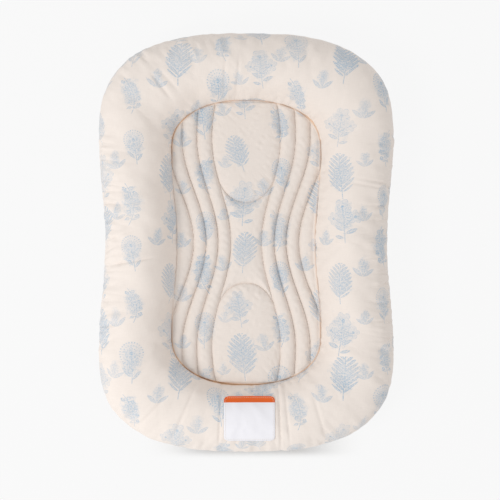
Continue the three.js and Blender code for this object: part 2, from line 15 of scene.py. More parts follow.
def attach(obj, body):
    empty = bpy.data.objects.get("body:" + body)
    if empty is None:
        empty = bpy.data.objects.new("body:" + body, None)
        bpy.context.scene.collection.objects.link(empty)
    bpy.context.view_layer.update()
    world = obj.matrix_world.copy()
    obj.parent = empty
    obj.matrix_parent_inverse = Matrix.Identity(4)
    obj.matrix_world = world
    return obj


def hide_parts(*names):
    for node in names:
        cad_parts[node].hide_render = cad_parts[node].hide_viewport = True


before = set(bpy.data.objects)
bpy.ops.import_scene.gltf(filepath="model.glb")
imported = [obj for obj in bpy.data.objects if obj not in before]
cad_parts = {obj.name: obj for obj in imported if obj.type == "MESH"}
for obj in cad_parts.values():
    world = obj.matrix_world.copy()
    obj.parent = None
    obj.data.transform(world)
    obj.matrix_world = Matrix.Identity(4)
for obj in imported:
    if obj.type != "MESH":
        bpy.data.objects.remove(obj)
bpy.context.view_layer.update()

MM = 0.001

# Heights of the bolster's section and of the base below it
CROWN = 100 * MM
WIDEST = 42 * MM
PAD_SEAM = 34 * MM
FLOOR_SQUASH = 6 * MM
BOLSTER_POWER = 2.3
SLOPE_POWER = 0.72
LOWER_SEAM_DEGREES = -38
BASE_THICKNESS = 1.2 * MM
BASE_RISE = 7 * MM
BAND_INNER_SHARE = 0.22
PLATEAU_SHARE = -0.12
SEAM_GAP = 0.3 * MM
NOMINAL_WIDTH = 128 * MM

# Hidden turn of the bolster's cloth below its lower seam
UNDER_DEGREES = (-42.0, -49.0, -60.0)
UNDER_IN_SHARES = (0.6, 0.8, 0.3)
UNDER_UP_SHARES = (0.8, 0.9, 1)
UNDER_FLOOR_SHARES = (BAND_INNER_SHARE, 0.12, 0.03)
RUN_FLOOR_SHARES = (0.75, 0.5, BAND_INNER_SHARE, 0.03)

# Quilt
VALLEY = 32 * MM
QUILT_BOTTOM = 27.4 * MM
QUILT_INSET = -2 * MM
RIM_LIFT = 4.2 * MM
RIM_LIFT_RIGHT = 7 * MM
RIM_LIFT_REACH = 7 * MM
RIGHT_FROM = (60 * MM, 120 * MM)
LEFT_FROM = (-120 * MM, -60 * MM)
CHANNEL_PUFF = 9.5 * MM
CHANNEL_ROUNDING = 2.4
FULL_CHANNEL = 20 * MM
SLIMMEST_CHANNEL = 2 * MM
PANEL_PUFF = 10 * MM
PANEL_EDGE_REACH = 17 * MM
PANEL_CROWN_REACH = 50 * MM
PANEL_EDGE_SHARE = 0.8
RIM_REACH = 9 * MM
RIM_SOFT_BEFORE = 15 * MM
RIM_SOFT_AFTER = 25 * MM
BULGE_POWER = 0.68
DOME_POWER = 0.62
DOME_ROUNDING = 2.2
CROWN_ROUNDING = 2
CHANNEL_CRINKLE_LENGTH = 13 * MM
CHANNEL_CRINKLE = 0.4 * MM
PANEL_CRINKLE = (15 * MM, 0.45 * MM)
PANEL_CRINKLE_REACH = 30 * MM
QUILT_SWAY = (70 * MM, 0.6 * MM)
QUILT_SWAY_FROM = (0, 6 * MM)
SLOPE_STEP = 1 * MM
STITCH_WIDE_AT = 190 * MM
STITCH_LINES = (
    (28.4 * MM, 62.9 * MM, 54.5 * MM),
    (51.4 * MM, 90 * MM, 86 * MM),
    (73 * MM, 117 * MM, 116 * MM),
    (96 * MM, 144.5 * MM, 144.5 * MM),
)
TIP_CENTRE_AT = 182 * MM
TIP_LENGTH = 108 * MM
TIP_POWER = 2.2

# Painted warm shade in the seam round the pad and in the quilt's stitched valleys
FOOT_SEAM = (-250 * MM, -200 * MM)
FOOT_SEAM_FADE = (0, 70 * MM)
END_SEAM = (100 * MM, 200 * MM)
FOOT_RIGHT_SHARE = 0.55
SEAM_SHARE = 0.05
RIGHT_SEAM_SHARE = 0.2
END_SEAM_SHARE = 0.3
LEFT_END_SEAM_SHARE = 0.4
SEAM_START = 2 * MM
SEAM_REACH = 5 * MM
SEAM_FOOT_REACH = 13 * MM
VALLEY_SHADE = (0.2 * MM, 2.4 * MM)
VALLEY_SHADE_SHARE = 0.12
RIM_SHADE = (1.2 * MM, 6 * MM)

# Relief of the bolster's cloth. Waves have a length and a height. Puckers have the least and
# the most of their spacing, depth, width and reach.
SIDE_END = (165 * MM, 235 * MM)
BROAD_WAVE = (95 * MM, 1.5 * MM)
SHORT_WAVE = (42 * MM, 0.6 * MM)
GATHERS = ((5 * MM, 12 * MM), (0.8 * MM, 2.8 * MM), (1.5 * MM, 2.6 * MM), (85 * MM, 180 * MM))
EASING = ((18 * MM, 46 * MM), (0.7 * MM, 2 * MM), (2.4 * MM, 4.6 * MM), (105 * MM, 215 * MM))
PAD_PUCKERS = ((14 * MM, 34 * MM), (0.5 * MM, 1.7 * MM), (2.2 * MM, 4.4 * MM), (18 * MM, 52 * MM))
END_GATHERS_SHARE = 0.05
END_EASING_SHARE = 0.5
TIGHTER_FROM = (0, 100 * MM)
LEFT_TIGHTNESS = 1.2
RIGHT_TIGHTNESS = 1.7
OUTLINE_CALM_SHARE = 0.88
HELD_AT_PAD = (2 * MM, 30 * MM)
HELD_AT_LOWER_SEAM = (0, 7 * MM)
HELD_SHARE = 0.02
CREASE_START_SHARES = (-0.1, 0.25)
CREASE_END_SHARES = (0.7, 1.1)
STEEP_FOOT = (-235 * MM, -180 * MM)
STEEP_FOOT_SHARE = 0.5

# Patch on the foot bolster
PATCH_HALF_WIDTH = 45.6 * MM
PATCH_ASIDE = 5.9 * MM
PATCH_NEAR = 276 * MM
PATCH_FAR = 355 * MM
PATCH_CORNER = 8 * MM
PATCH_BAND = 13 * MM
PATCH_THICKNESS = 0.5 * MM
PATCH_LIFT = 0.6 * MM
PATCH_ROWS = 55
PATCH_COLUMNS = 61
PATCH_SMOOTHINGS = 40
PATCH_STITCH_STEPS = 2
PROBE_HEIGHT = 200 * MM

# Elastic inside the cover's lower edge
ELASTIC_DEPTH = 3 * MM
ELASTIC_THICKNESS = 0.8 * MM
ELASTIC_REACH = 190 * MM
ELASTIC_FROM_SEAM = 5 * MM
ELASTIC_WIDTH = 8 * MM

# Underside
UNDERSIDE_DEGREES = (-38.4, -42, -46, -50, -55, -60)
UNDERSIDE_FLOOR_SHARES = (0.62, 0.42)
UNDERSIDE_RISE_COLUMNS = 9
UNDERSIDE_MIDDLE_COLUMNS = 17
UNDERSIDE_SWAY = (55 * MM, 0.9 * MM)
UNDERSIDE_SWAY_LOW = 0.6 * MM
UNDERSIDE_SWAY_TOP = 0.2 * MM
UNDERSIDE_SWAY_REACH = 30 * MM
SLOT_SLACK = MM / 10
MERGE_REACH = MM / 500

# Zip
SLOT_HALF_WIDTH = 6 * MM
SLOT_HALF_LENGTH = 233.8 * MM
CENTRE_SEAM = 0.15 * MM
TAPE_EDGE = 2.9 * MM
TAPE_WIDTH = 14 * MM
TAPE_LENGTH = 479.6 * MM
TAPE_LOW = 8.5 * MM
TAPE_THICKNESS = 0.8 * MM
TAPE_RIB = 1.2 * MM
TAPE_RIB_HEIGHT = 0.1 * MM
TAPE_ROWS = 241
TAPE_COLUMNS = 9
SLIDER_BEVEL = 0.25 * MM

# Threads
STITCH_PITCH = 3.4 * MM
STITCH_LENGTH = 2.5 * MM
STITCH_RADIUS = 0.27 * MM
STITCH_SINK = 0.05 * MM
STITCH_SIDES = 6
STITCH_RINGS = ((-0.5, 0.4), (-0.34, 1), (0.34, 1), (0.5, 0.4))
STITCH_LINE_STEP = MM
QUILT_STITCH_INSET = 3 * MM
BASE_STITCH_ROWS = (2 * MM, 8 * MM)

# Mesh densities, of the pieces and of the cloth runs that wrinkle them
RING_COUNT = 1400
SECTION_COUNT = 92
QUILT_COLUMNS = 281
QUILT_ROWS = 541
UNDERSIDE_ROWS = 281
RING_SAMPLES = 8001
SECTION_SAMPLES = 4001
RING_RUN_COUNT = 420
SECTION_RUN_COUNT = 60
QUILT_RUN_COLUMNS = 131
QUILT_RUN_ROWS = 251

# Cloth runs
CLOTH_FRAMES = 22
CLOTH_PRESSURE = 4.0
BOLSTER_SMOOTHING = 22 * MM
BOLSTER_CAP = 4.5 * MM
BOLSTER_SWELL = 0.3
OUTLINE_REACH = 20 * MM
RUN_SIDE_END = (185 * MM, 250 * MM)
RUN_LOWER_WAVE = (15 * MM, 1.1 * MM)
RUN_LOWER_BAND = (60 * MM, 130 * MM)
RUN_PAD_WAVE = (17 * MM, 0.7 * MM)
RUN_PAD_BAND = (20 * MM, 60 * MM)
RUN_WAVE = (22 * MM, 0.3 * MM)
RUN_HELD_AT_PAD = (0, 9 * MM)
SPARE_AT_LOWER_SEAM = (20 * MM, 90 * MM)
SPARE_AT_PAD = (8 * MM, 45 * MM)
END_SPARE_SHARE = 0.35
PAD_SPARE_SHARE = 0.5
LEAST_SPARE_SHARE = 0.2
END_FOLDS = 1.2
SIDE_FOLDS = 2
BROAD_SHARE = 0.2
RUN_CALM_SHARE = 0.85
RUN_FADE_AT_PAD = (2 * MM, 32 * MM)
QUILT_SMOOTHING = 9 * MM
QUILT_CAP = 1.6 * MM
QUILT_SWELL = 0.1
QUILT_RUN_SHARE = 1.2
QUILT_RUN_WAVE = (14 * MM, 0.35 * MM)
QUILT_RUN_PUFFED = (0.5 * MM, 3 * MM)
QUILT_HELD_BELOW = 1.2 * MM
QUILT_RUN_FADE = (0.5 * MM, 2.5 * MM)
QUILT_RUN_RIM = (0, 9 * MM)

# Print
CELL_WIDTH = 74 * MM
CELL_HEIGHT = 94 * MM
MOTIF_SIZE = 88 * MM
FILLER_SIZE = 42 * MM
MOTIF_WANDER = 22 * MM
FILLER_WANDER = 8 * MM
LAYOUT_SHIFT = (11 * MM, 17 * MM)
PRINT_SHIFT = (0.031, 0.047, 0)
REPEAT_COLUMNS = 4
REPEAT_ROWS = 3

# Relief in the materials
WRINKLE_DEPTH = 0.9 * MM
SLUB_DEPTH = 0.12 * MM
TWIST_DEPTH = 0.08 * MM
SATIN_RIB_DEPTH = 0.05 * MM
SATIN_WAVE_DEPTH = 0.8 * MM
BAND_SOFTNESS = 0.2 * MM
TWILL_DEPTH = 0.15 * MM
GRAIN_DEPTH = 0.05 * MM
WEAR_DEPTH = 0.06 * MM
CORD_DEPTH = 0.2 * MM
PORE_DEPTH = 0.5 * MM

# Camera over the photograph's frame
FRAME_PIXELS = 500
MM_PER_PIXEL = 1.8225
OUTLINE_PIXEL = (246.2, 242.5)
CAMERA_HEIGHT = 2.9
CAMERA_REACH = 20
SENSOR_WIDTH = 36
LIGHT_PLACE = (-1.85, -1.1, 2.15)
LIGHT_TARGET = (0, 0, 40 * MM)
LIGHT_SIZE = 1.2
LIGHT_POWER = 30
WORLD_STRENGTH = 0.74
FLOOR_HALF_SIZE = 12
FLOOR_GAP = 0.4 * MM
FLOOR_GREY = 0.9
FLOOR_BELOW = (0.6, 0.92)
# How far the floor's colour is darkened along the foot end: a painted shadow
PAINTED_FOOT_SHADOW_SHARE = 0.27
FLOOR_SHADOW_SHARE = 0.87
FLOOR_GLOW = 0.93
FLOOR_CLEAR = 60 * MM
FOOT_SHADOW_START = (340 * MM, 370 * MM)
FOOT_SHADOW_END = (384 * MM, 402 * MM)
FOOT_SHADOW_SIDES = (70 * MM, 215 * MM)
FOOT_SHADOW_ASIDE = 15 * MM

# Colours
CREAM = (0.862, 0.782, 0.722)
# Cream of the quilt: the same cloth's cream made darker, painted shade for the pad lying low between
# the bolsters
PAINTED_SHADE_QUILT_CREAM = (0.823, 0.747, 0.690)
INK = (0.22, 0.42, 0.60)
# Painted light and shade in seams and valleys: a warm glow for light bounced between the folds, then a
# dark fold colour for their shade
PAINTED_FOLD_GLOW = (0.86, 0.47, 0.22)
PAINTED_FOLD_SHADE = (0.39, 0.27, 0.145)
THREAD = (0.74, 0.66, 0.58)
ORANGE = (0.80, 0.13, 0.015)
SATIN = (0.90, 0.89, 0.93)
PLAIN_CREAM = (0.85, 0.79, 0.72)
ZIP_CREAM = (0.80, 0.73, 0.65)
PAINT = (0.74, 0.68, 0.60)
BARE_METAL = (0.5, 0.48, 0.45)
ELASTIC_WHITE = (0.83, 0.81, 0.78)
FOAM_YELLOW = (0.87, 0.83, 0.68)


# Numbers and shapes

def smooth(low, high, value):
    """0 below low, 1 above high, and a smooth step between them."""
    share = np.clip((value - low) / (high - low), 0, 1)
    return share * share * (3 - 2 * share)


def blend(low, high, share):
    """A number that goes from low to high as the share goes from 0 to 1."""
    return low + (high - low) * share


class Plan:
    """A waisted rectangle whose corners are quarters of a superellipse."""

    SIDE_SHARE = 1 / 3

    def __init__(self, half_length, half_width, waist_depth, wide_at, power):
        self.half_length = half_length
        self.half_width = half_width
        self.waist_depth = waist_depth
        self.wide_at = wide_at
        self.power = power

    def inset(self, distance):
        """The same plan, drawn in all round."""
        return Plan(
            self.half_length - distance,
            self.half_width - distance,
            self.waist_depth,
            self.wide_at,
            self.power,
        )

    def half_width_at(self, y):
        off = np.abs(y)
        waist = self.waist_depth / 2 * (1 + np.cos(np.pi * np.minimum(off / self.wide_at, 1)))
        reach = np.clip((off - self.wide_at) / (self.half_length - self.wide_at), 0, 1)
        return (self.half_width - waist) * (1 - reach**self.power) ** (1 / self.power)

    def half_length_at(self, x):
        share = np.minimum(1, np.abs(x) / self.half_width)
        corner = self.half_length - self.wide_at
        return self.wide_at + corner * (1 - share**self.power) ** (1 / self.power)

    def point(self, turn):
        """Points of the outline, at turns counted in quarters from +X towards +Y."""
        turn = np.asarray(turn, float) % 4
        quarter = np.floor(turn).astype(int)
        within = np.where(quarter % 2 == 1, 1 - (turn - quarter), turn - quarter)
        side_y = self.wide_at * np.minimum(within / self.SIDE_SHARE, 1)
        angle = np.clip((within - self.SIDE_SHARE) / (1 - self.SIDE_SHARE), 0, 1) * math.pi / 2
        corner_x = self.half_width * np.clip(np.cos(angle), 0, 1) ** (2 / self.power)
        corner = self.half_length - self.wide_at
        corner_y = self.wide_at + corner * np.sin(angle) ** (2 / self.power)
        on_side = within <= self.SIDE_SHARE
        x = np.where(on_side, self.half_width_at(side_y), corner_x)
        y = np.where(on_side, side_y, corner_y)
        x = np.where((quarter == 1) | (quarter == 2), -x, x)
        y = np.where(quarter >= 2, -y, y)
        return np.stack([x, y], -1)

    def depth(self, x, y):
        """Roughly how far inside the outline a point lies."""
        off = np.abs(y)
        side = self.half_width_at(np.minimum(off, self.wide_at)) - np.abs(x)
        across, along = self.half_width, self.half_length - self.wide_at
        corner = rounded_depth(x / across, (off - self.wide_at) / along, across, along, self.power)
        return np.where(off > self.wide_at, corner, side)


def rounded_depth(u, v, across, along, power):
    """How far a point lies inside a superellipse, from its shares of the two half axes."""
    u, v = np.abs(u), np.maximum(v, 0)
    radius = np.maximum((u**power + v**power) ** (1 / power), 1e-6)
    slope_u = (u / radius) ** (power - 1) / across
    slope_v = (v / radius) ** (power - 1) / along
    return (1 - radius) / np.maximum(np.hypot(slope_u, slope_v), 1e-6)


LOUNGER = Plan(
    half_length=380 * MM, half_width=268 * MM, waist_depth=11.5 * MM, wide_at=193 * MM, power=2.7
)
PAD = Plan(
    half_length=260 * MM, half_width=136.5 * MM, waist_depth=11 * MM, wide_at=173 * MM, power=2.25
)
QUILT_PLAN = PAD.inset(QUILT_INSET)


class Unevenness:
    """Smooth seeded noise made of waves in all directions, about -1 to 1."""

    COUNT = 28
    LENGTH_SHARES = (0.7, 1.6)
    HEIGHT_SHARE = 0.6

    def __init__(self, seed, wavelength):
        rng = np.random.default_rng(seed)
        angle = rng.uniform(0, 2 * np.pi, self.COUNT)
        number = 2 * np.pi / (wavelength * rng.uniform(*self.LENGTH_SHARES, self.COUNT))
        self.kx = number * np.cos(angle)
        self.ky = number * np.sin(angle)
        self.phase = rng.uniform(0, 2 * np.pi, self.COUNT)
        self.scale = math.sqrt(2 / self.COUNT) * self.HEIGHT_SHARE

    def __call__(self, x, y):
        x, y = np.broadcast_arrays(x, y)
        total = np.zeros(x.shape)
        for kx, ky, phase in zip(self.kx, self.ky, self.phase):
            total += np.sin(kx * x + ky * y + phase)
        return total * self.scale


def waves(seed, wave, x, y):
    """Unevenness of a wave's length and height."""
    length, height = wave
    return Unevenness(seed, length)(x, y) * height


class Puckers:
    """Short creases that run away from a seam, at seeded places along it."""

    SLANT = 0.16
    START_SHARE = 0.55
    SPREAD_SHARE = 0.9

    def __init__(self, seed, length, spacing, depth, width, reach):
        rng = np.random.default_rng(seed)
        places = []
        at = rng.uniform(0, spacing[1])
        while at < length:
            places.append(at)
            at += rng.uniform(*spacing)
        self.length = length
        self.at = np.array(places)
        count = len(places)
        self.depth = rng.uniform(*depth, count)
        self.width = rng.uniform(*width, count)
        self.reach = rng.uniform(*reach, count)
        self.slant = rng.normal(0, self.SLANT, count)

    def __call__(self, along, away):
        """How deep the cloth is drawn in, at places along the seam and away from it."""
        total = np.zeros(np.broadcast(along, away).shape)
        for at, depth, width, reach, slant in zip(
            self.at, self.depth, self.width, self.reach, self.slant
        ):
            off = (along - at - slant * away + self.length / 2) % self.length - self.length / 2
            spread_share = self.START_SHARE + self.SPREAD_SHARE * np.clip(away / reach, 0, 1)
            spread = width * spread_share
            total += depth * np.exp(-((off / spread) ** 2)) * (1 - smooth(0, reach, away))
        return total


def travel(steps):
    """Distances travelled after each step, from 0."""
    return np.concatenate([[0], np.cumsum(steps)])


def crease(x, y, start, end, width):
    """1 along a stretch between two points, fading over a width and towards both ends."""
    ax, ay = start
    dx, dy = end[0] - ax, end[1] - ay
    length = math.hypot(dx, dy)
    along = ((x - ax) * dx + (y - ay) * dy) / length**2
    across = ((x - ax) * dy - (y - ay) * dx) / length
    ends = smooth(*CREASE_START_SHARES, along) * (1 - smooth(*CREASE_END_SHARES, along))
    return np.exp(-((across / width) ** 2)) * ends


def from_photo(px, py):
    """Place on the object of a pixel of the photograph."""
    x = (px - OUTLINE_PIXEL[0]) * MM_PER_PIXEL * MM
    y = (OUTLINE_PIXEL[1] - py) * MM_PER_PIXEL * MM
    return x, y


# Meshes

def add_object(name, data):
    """A new object in the scene."""
    made = bpy.data.objects.new(name, data)
    bpy.context.scene.collection.objects.link(made)
    return made


def make_object(name, vertices, faces, body="lounger", closed=True):
    mesh = bpy.data.meshes.new(name)
    mesh.from_pydata(np.asarray(vertices).tolist(), [], [list(face) for face in faces])
    mesh.validate()
    if closed:
        turned = bmesh.new()
        turned.from_mesh(mesh)
        bmesh.ops.recalc_face_normals(turned, faces=turned.faces)
        turned.to_mesh(mesh)
        turned.free()
    mesh.update()
    made = add_object(name, mesh)
    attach(made, body)
    return made


def merge_close(made):
    """Points that coincide are made one, and the places of those that stay are given back."""
    joined = bmesh.new()
    joined.from_mesh(made.data)
    bmesh.ops.remove_doubles(joined, verts=joined.verts, dist=MERGE_REACH)
    joined.to_mesh(made.data)
    joined.free()
    return np.array([vertex.co for vertex in made.data.vertices])


def set_smooth(made):
    made.data.polygons.foreach_set("use_smooth", [True] * len(made.data.polygons))
    made.data.update()


def set_vectors(made, name, values):
    """Stores one vector for each vertex."""
    layer = made.data.attributes.new(name, "FLOAT_VECTOR", "POINT")
    layer.data.foreach_set("vector", np.asarray(values, np.float32).ravel())


def set_values(made, name, values):
    layer = made.data.attributes.new(name, "FLOAT", "POINT")
    layer.data.foreach_set("value", np.asarray(values, np.float32).ravel())


def grid_faces(rows, columns, wrap_rows=False, wrap_columns=False):
    """Quads of a grid of points numbered row by row."""
    last_row = rows if wrap_rows else rows - 1
    last_column = columns if wrap_columns else columns - 1
    r, c = np.meshgrid(np.arange(last_row), np.arange(last_column), indexing="ij")
    r, c = r.ravel(), c.ravel()
    r2, c2 = (r + 1) % rows, (c + 1) % columns
    quads = [r * columns + c, r2 * columns + c, r2 * columns + c2, r * columns + c2]
    return np.stack(quads, -1)


def rim_of(rows, columns):
    """Numbers of a grid's outer points, in order round it."""
    return np.concatenate([
        np.arange(columns),
        np.arange(1, rows - 1) * columns + columns - 1,
        np.arange(columns)[::-1] + (rows - 1) * columns,
        np.arange(1, rows - 1)[::-1] * columns,
    ])


def grid_normals(places, closed=True):
    """Normals of a grid of places, which may be closed along its rows."""
    if closed:
        along = np.roll(places, -1, 0) - np.roll(places, 1, 0)
    else:
        along = np.gradient(places, axis=0)
    across = np.gradient(places, axis=1)
    normals = np.cross(across, along)
    return normals / np.maximum(np.linalg.norm(normals, axis=2, keepdims=True), 1e-12)


def apply_modifiers(made):
    """Turns an object's modifiers into its mesh."""
    graph = bpy.context.evaluated_depsgraph_get()
    mesh = bpy.data.meshes.new_from_object(made.evaluated_get(graph))
    made.modifiers.clear()
    made.data = mesh
    return made


def layer_faces(rows, columns):
    """Faces of a thin closed layer: a grid of upper points followed by the same grid of lower ones."""
    count = rows * columns
    upper = grid_faces(rows, columns)
    rim = rim_of(rows, columns)
    after = np.roll(rim, -1)
    sides = np.stack([rim, after, after + count, rim + count], -1)
    return np.concatenate([upper[:, ::-1], upper + count, sides[:, ::-1]])


def threads(name, paths, body="lounger"):
    """Short stitches of thread that lie along paths of points and their normals."""
    turns = np.arange(STITCH_SIDES) / STITCH_SIDES * 2 * np.pi
    last = (len(STITCH_RINGS) - 1) * STITCH_SIDES
    vertices, faces = [], []
    for points, normals in paths:
        points, normals = np.asarray(points), np.asarray(normals)
        steps = np.linalg.norm(np.diff(points, axis=0), axis=1)
        travelled = travel(steps)
        for at in np.arange(STITCH_PITCH / 2, travelled[-1] - STITCH_LENGTH / 2, STITCH_PITCH):
            ends = [at - STITCH_LENGTH / 2, at, at + STITCH_LENGTH / 2]
            low, middle, high = [
                np.array([np.interp(end, travelled, points[:, axis]) for axis in range(3)])
                for end in ends
            ]
            up = np.array([np.interp(at, travelled, normals[:, axis]) for axis in range(3)])
            forward = (high - low) / np.linalg.norm(high - low)
            side = np.cross(up, forward)
            side = side / np.linalg.norm(side)
            up = np.cross(forward, side)
            start = len(vertices)
            for share, girth in STITCH_RINGS:
                for turn in turns:
                    spread = side * math.cos(turn) + up * math.sin(turn)
                    offset = forward * share * STITCH_LENGTH + spread * STITCH_RADIUS * girth
                    vertices.append(middle - up * STITCH_SINK + offset)
            faces.append([start + i for i in range(STITCH_SIDES - 1, -1, -1)])
            faces.append([start + last + i for i in range(STITCH_SIDES)])
            for ring in range(start, start + last, STITCH_SIDES):
                for i in range(STITCH_SIDES):
                    a = ring + i
                    b = ring + (i + 1) % STITCH_SIDES
                    faces.append([a, b, b + STITCH_SIDES, a + STITCH_SIDES])
    made = make_object(name, vertices, faces, body)
    set_smooth(made)
    made.data.materials.append(material("thread"))
    return made


# Cloth runs

def blurred(field, sigmas, wrapped):
    """A grid smoothed by a bell curve along each of its directions."""
    for axis, (sigma, wrap) in enumerate(zip(sigmas, wrapped)):
        reach = int(3 * sigma) + 1
        bell = np.exp(-0.5 * (np.arange(-reach, reach + 1) / sigma) ** 2)
        bell = bell / bell.sum()
        pad = [(0, 0), (0, 0)]
        pad[axis] = (reach, reach)
        wide = np.pad(field, pad, mode="wrap" if wrap else "edge")
        field = np.apply_along_axis(np.convolve, axis, wide, bell, "valid")
    return field


def resampled(field, rows, columns, wrapped=False):
    """A grid brought to another number of rows and columns."""
    if wrapped:
        field = np.concatenate([field, field[:1]])
        at = np.arange(rows) / rows * (len(field) - 1)
    else:
        at = np.linspace(0, len(field) - 1, rows)
    low = np.minimum(at.astype(int), len(field) - 2)
    share = (at - low)[:, None]
    field = field[low] * (1 - share) + field[low + 1] * share
    at = np.linspace(0, field.shape[1] - 1, columns)
    low = np.minimum(at.astype(int), field.shape[1] - 2)
    share = (at - low)[None, :]
    return field[:, low] * (1 - share) + field[:, low + 1] * share


def cloth_run(vertices, faces, held, spare, swell):
    """Places of a stuffed cloth after a short run of Blender's Cloth.

    Held points stay; elsewhere the cloth has spare width, up to the share swell where spare is 1.
    """
    made = make_object("cloth_run", vertices, faces)
    held_group = made.vertex_groups.new(name="held")
    held_group.add(np.where(held)[0].tolist(), 1.0, "REPLACE")
    spare_group = made.vertex_groups.new(name="spare")
    levels = np.round(spare * 10).astype(int)
    for level in range(1, 11):
        spare_group.add(np.where(levels == level)[0].tolist(), level / 10, "REPLACE")
    cloth = made.modifiers.new("cloth", "CLOTH")
    settings = cloth.settings
    settings.quality = 5
    settings.time_scale = 2
    settings.mass = 0.2
    settings.tension_stiffness = 15
    settings.compression_stiffness = 15
    settings.shear_stiffness = 5
    settings.bending_stiffness = 0.05
    settings.tension_damping = 1
    settings.compression_damping = 1
    settings.shear_damping = 1
    settings.bending_damping = 0.1
    settings.use_pressure = True
    settings.uniform_pressure_force = CLOTH_PRESSURE
    settings.vertex_group_mass = "held"
    settings.vertex_group_shrink = "spare"
    settings.shrink_min = 0
    settings.shrink_max = -swell
    settings.effector_weights.gravity = 0
    cloth.collision_settings.use_collision = False
    cloth.point_cache.frame_start = 1
    cloth.point_cache.frame_end = CLOTH_FRAMES
    for number in range(1, CLOTH_FRAMES + 1):
        bpy.context.scene.frame_set(number)
    graph = bpy.context.evaluated_depsgraph_get()
    moved = np.zeros(len(vertices) * 3)
    made.evaluated_get(graph).data.vertices.foreach_get("co", moved)
    mesh = made.data
    bpy.data.objects.remove(made)
    bpy.data.meshes.remove(mesh)
    bpy.context.scene.frame_set(1)
    return moved.reshape(-1, 3)


# Materials

class Field:
    """One number at each point of a material. Sums, products and functions of it become nodes."""

    def __init__(self, tree, socket):
        self.tree = tree
        self.socket = socket

    def math(self, operation, *others):
        node = self.tree.nodes.new("ShaderNodeMath")
        node.operation = operation
        for number, value in enumerate([self, *others]):
            join(self.tree, value, node.inputs[number])
        return Field(self.tree, node.outputs[0])

    def __add__(self, other):
        return self.math("ADD", other)

    def __sub__(self, other):
        return self.math("SUBTRACT", other)

    def __mul__(self, other):
        return self.math("MULTIPLY", other)

    def __truediv__(self, other):
        return self.math("DIVIDE", other)

    def __rsub__(self, other):
        return self.math("MULTIPLY_ADD", -1, other)

    __radd__ = __add__
    __rmul__ = __mul__

    def abs(self):
        return self.math("ABSOLUTE")

    def floor(self):
        return self.math("FLOOR")

    def fract(self):
        return self.math("FRACT")

    def sin(self):
        return self.math("SINE")

    def cos(self):
        return self.math("COSINE")

    def sqrt(self):
        return self.math("SQRT")

    def above(self, limit):
        return self.math("GREATER_THAN", limit)

    def below(self, limit):
        return self.math("LESS_THAN", limit)

    def least(self, other):
        return self.math("MINIMUM", other)

    def most(self, other):
        return self.math("MAXIMUM", other)

    def rise(self, low, high):
        """0 below low, 1 above high, and a smooth step between them."""
        node = self.tree.nodes.new("ShaderNodeMapRange")
        node.interpolation_type = "SMOOTHSTEP"
        join(self.tree, self, node.inputs["Value"])
        join(self.tree, low, node.inputs["From Min"])
        join(self.tree, high, node.inputs["From Max"])
        return Field(self.tree, node.outputs[0])

    def within(self, limit, softness):
        """1 where the number is below a limit, with a soft edge."""
        return 1 - self.rise(limit - softness, limit + softness)


def join(tree, value, socket):
    """Feeds a field or a plain number to a socket."""
    if isinstance(value, Field):
        tree.links.new(value.socket, socket)
    else:
        socket.default_value = value


def distance(x, y):
    return (x * x + y * y).sqrt()


def union(*masks):
    total = masks[0]
    for mask in masks[1:]:
        total = total.most(mask)
    return total


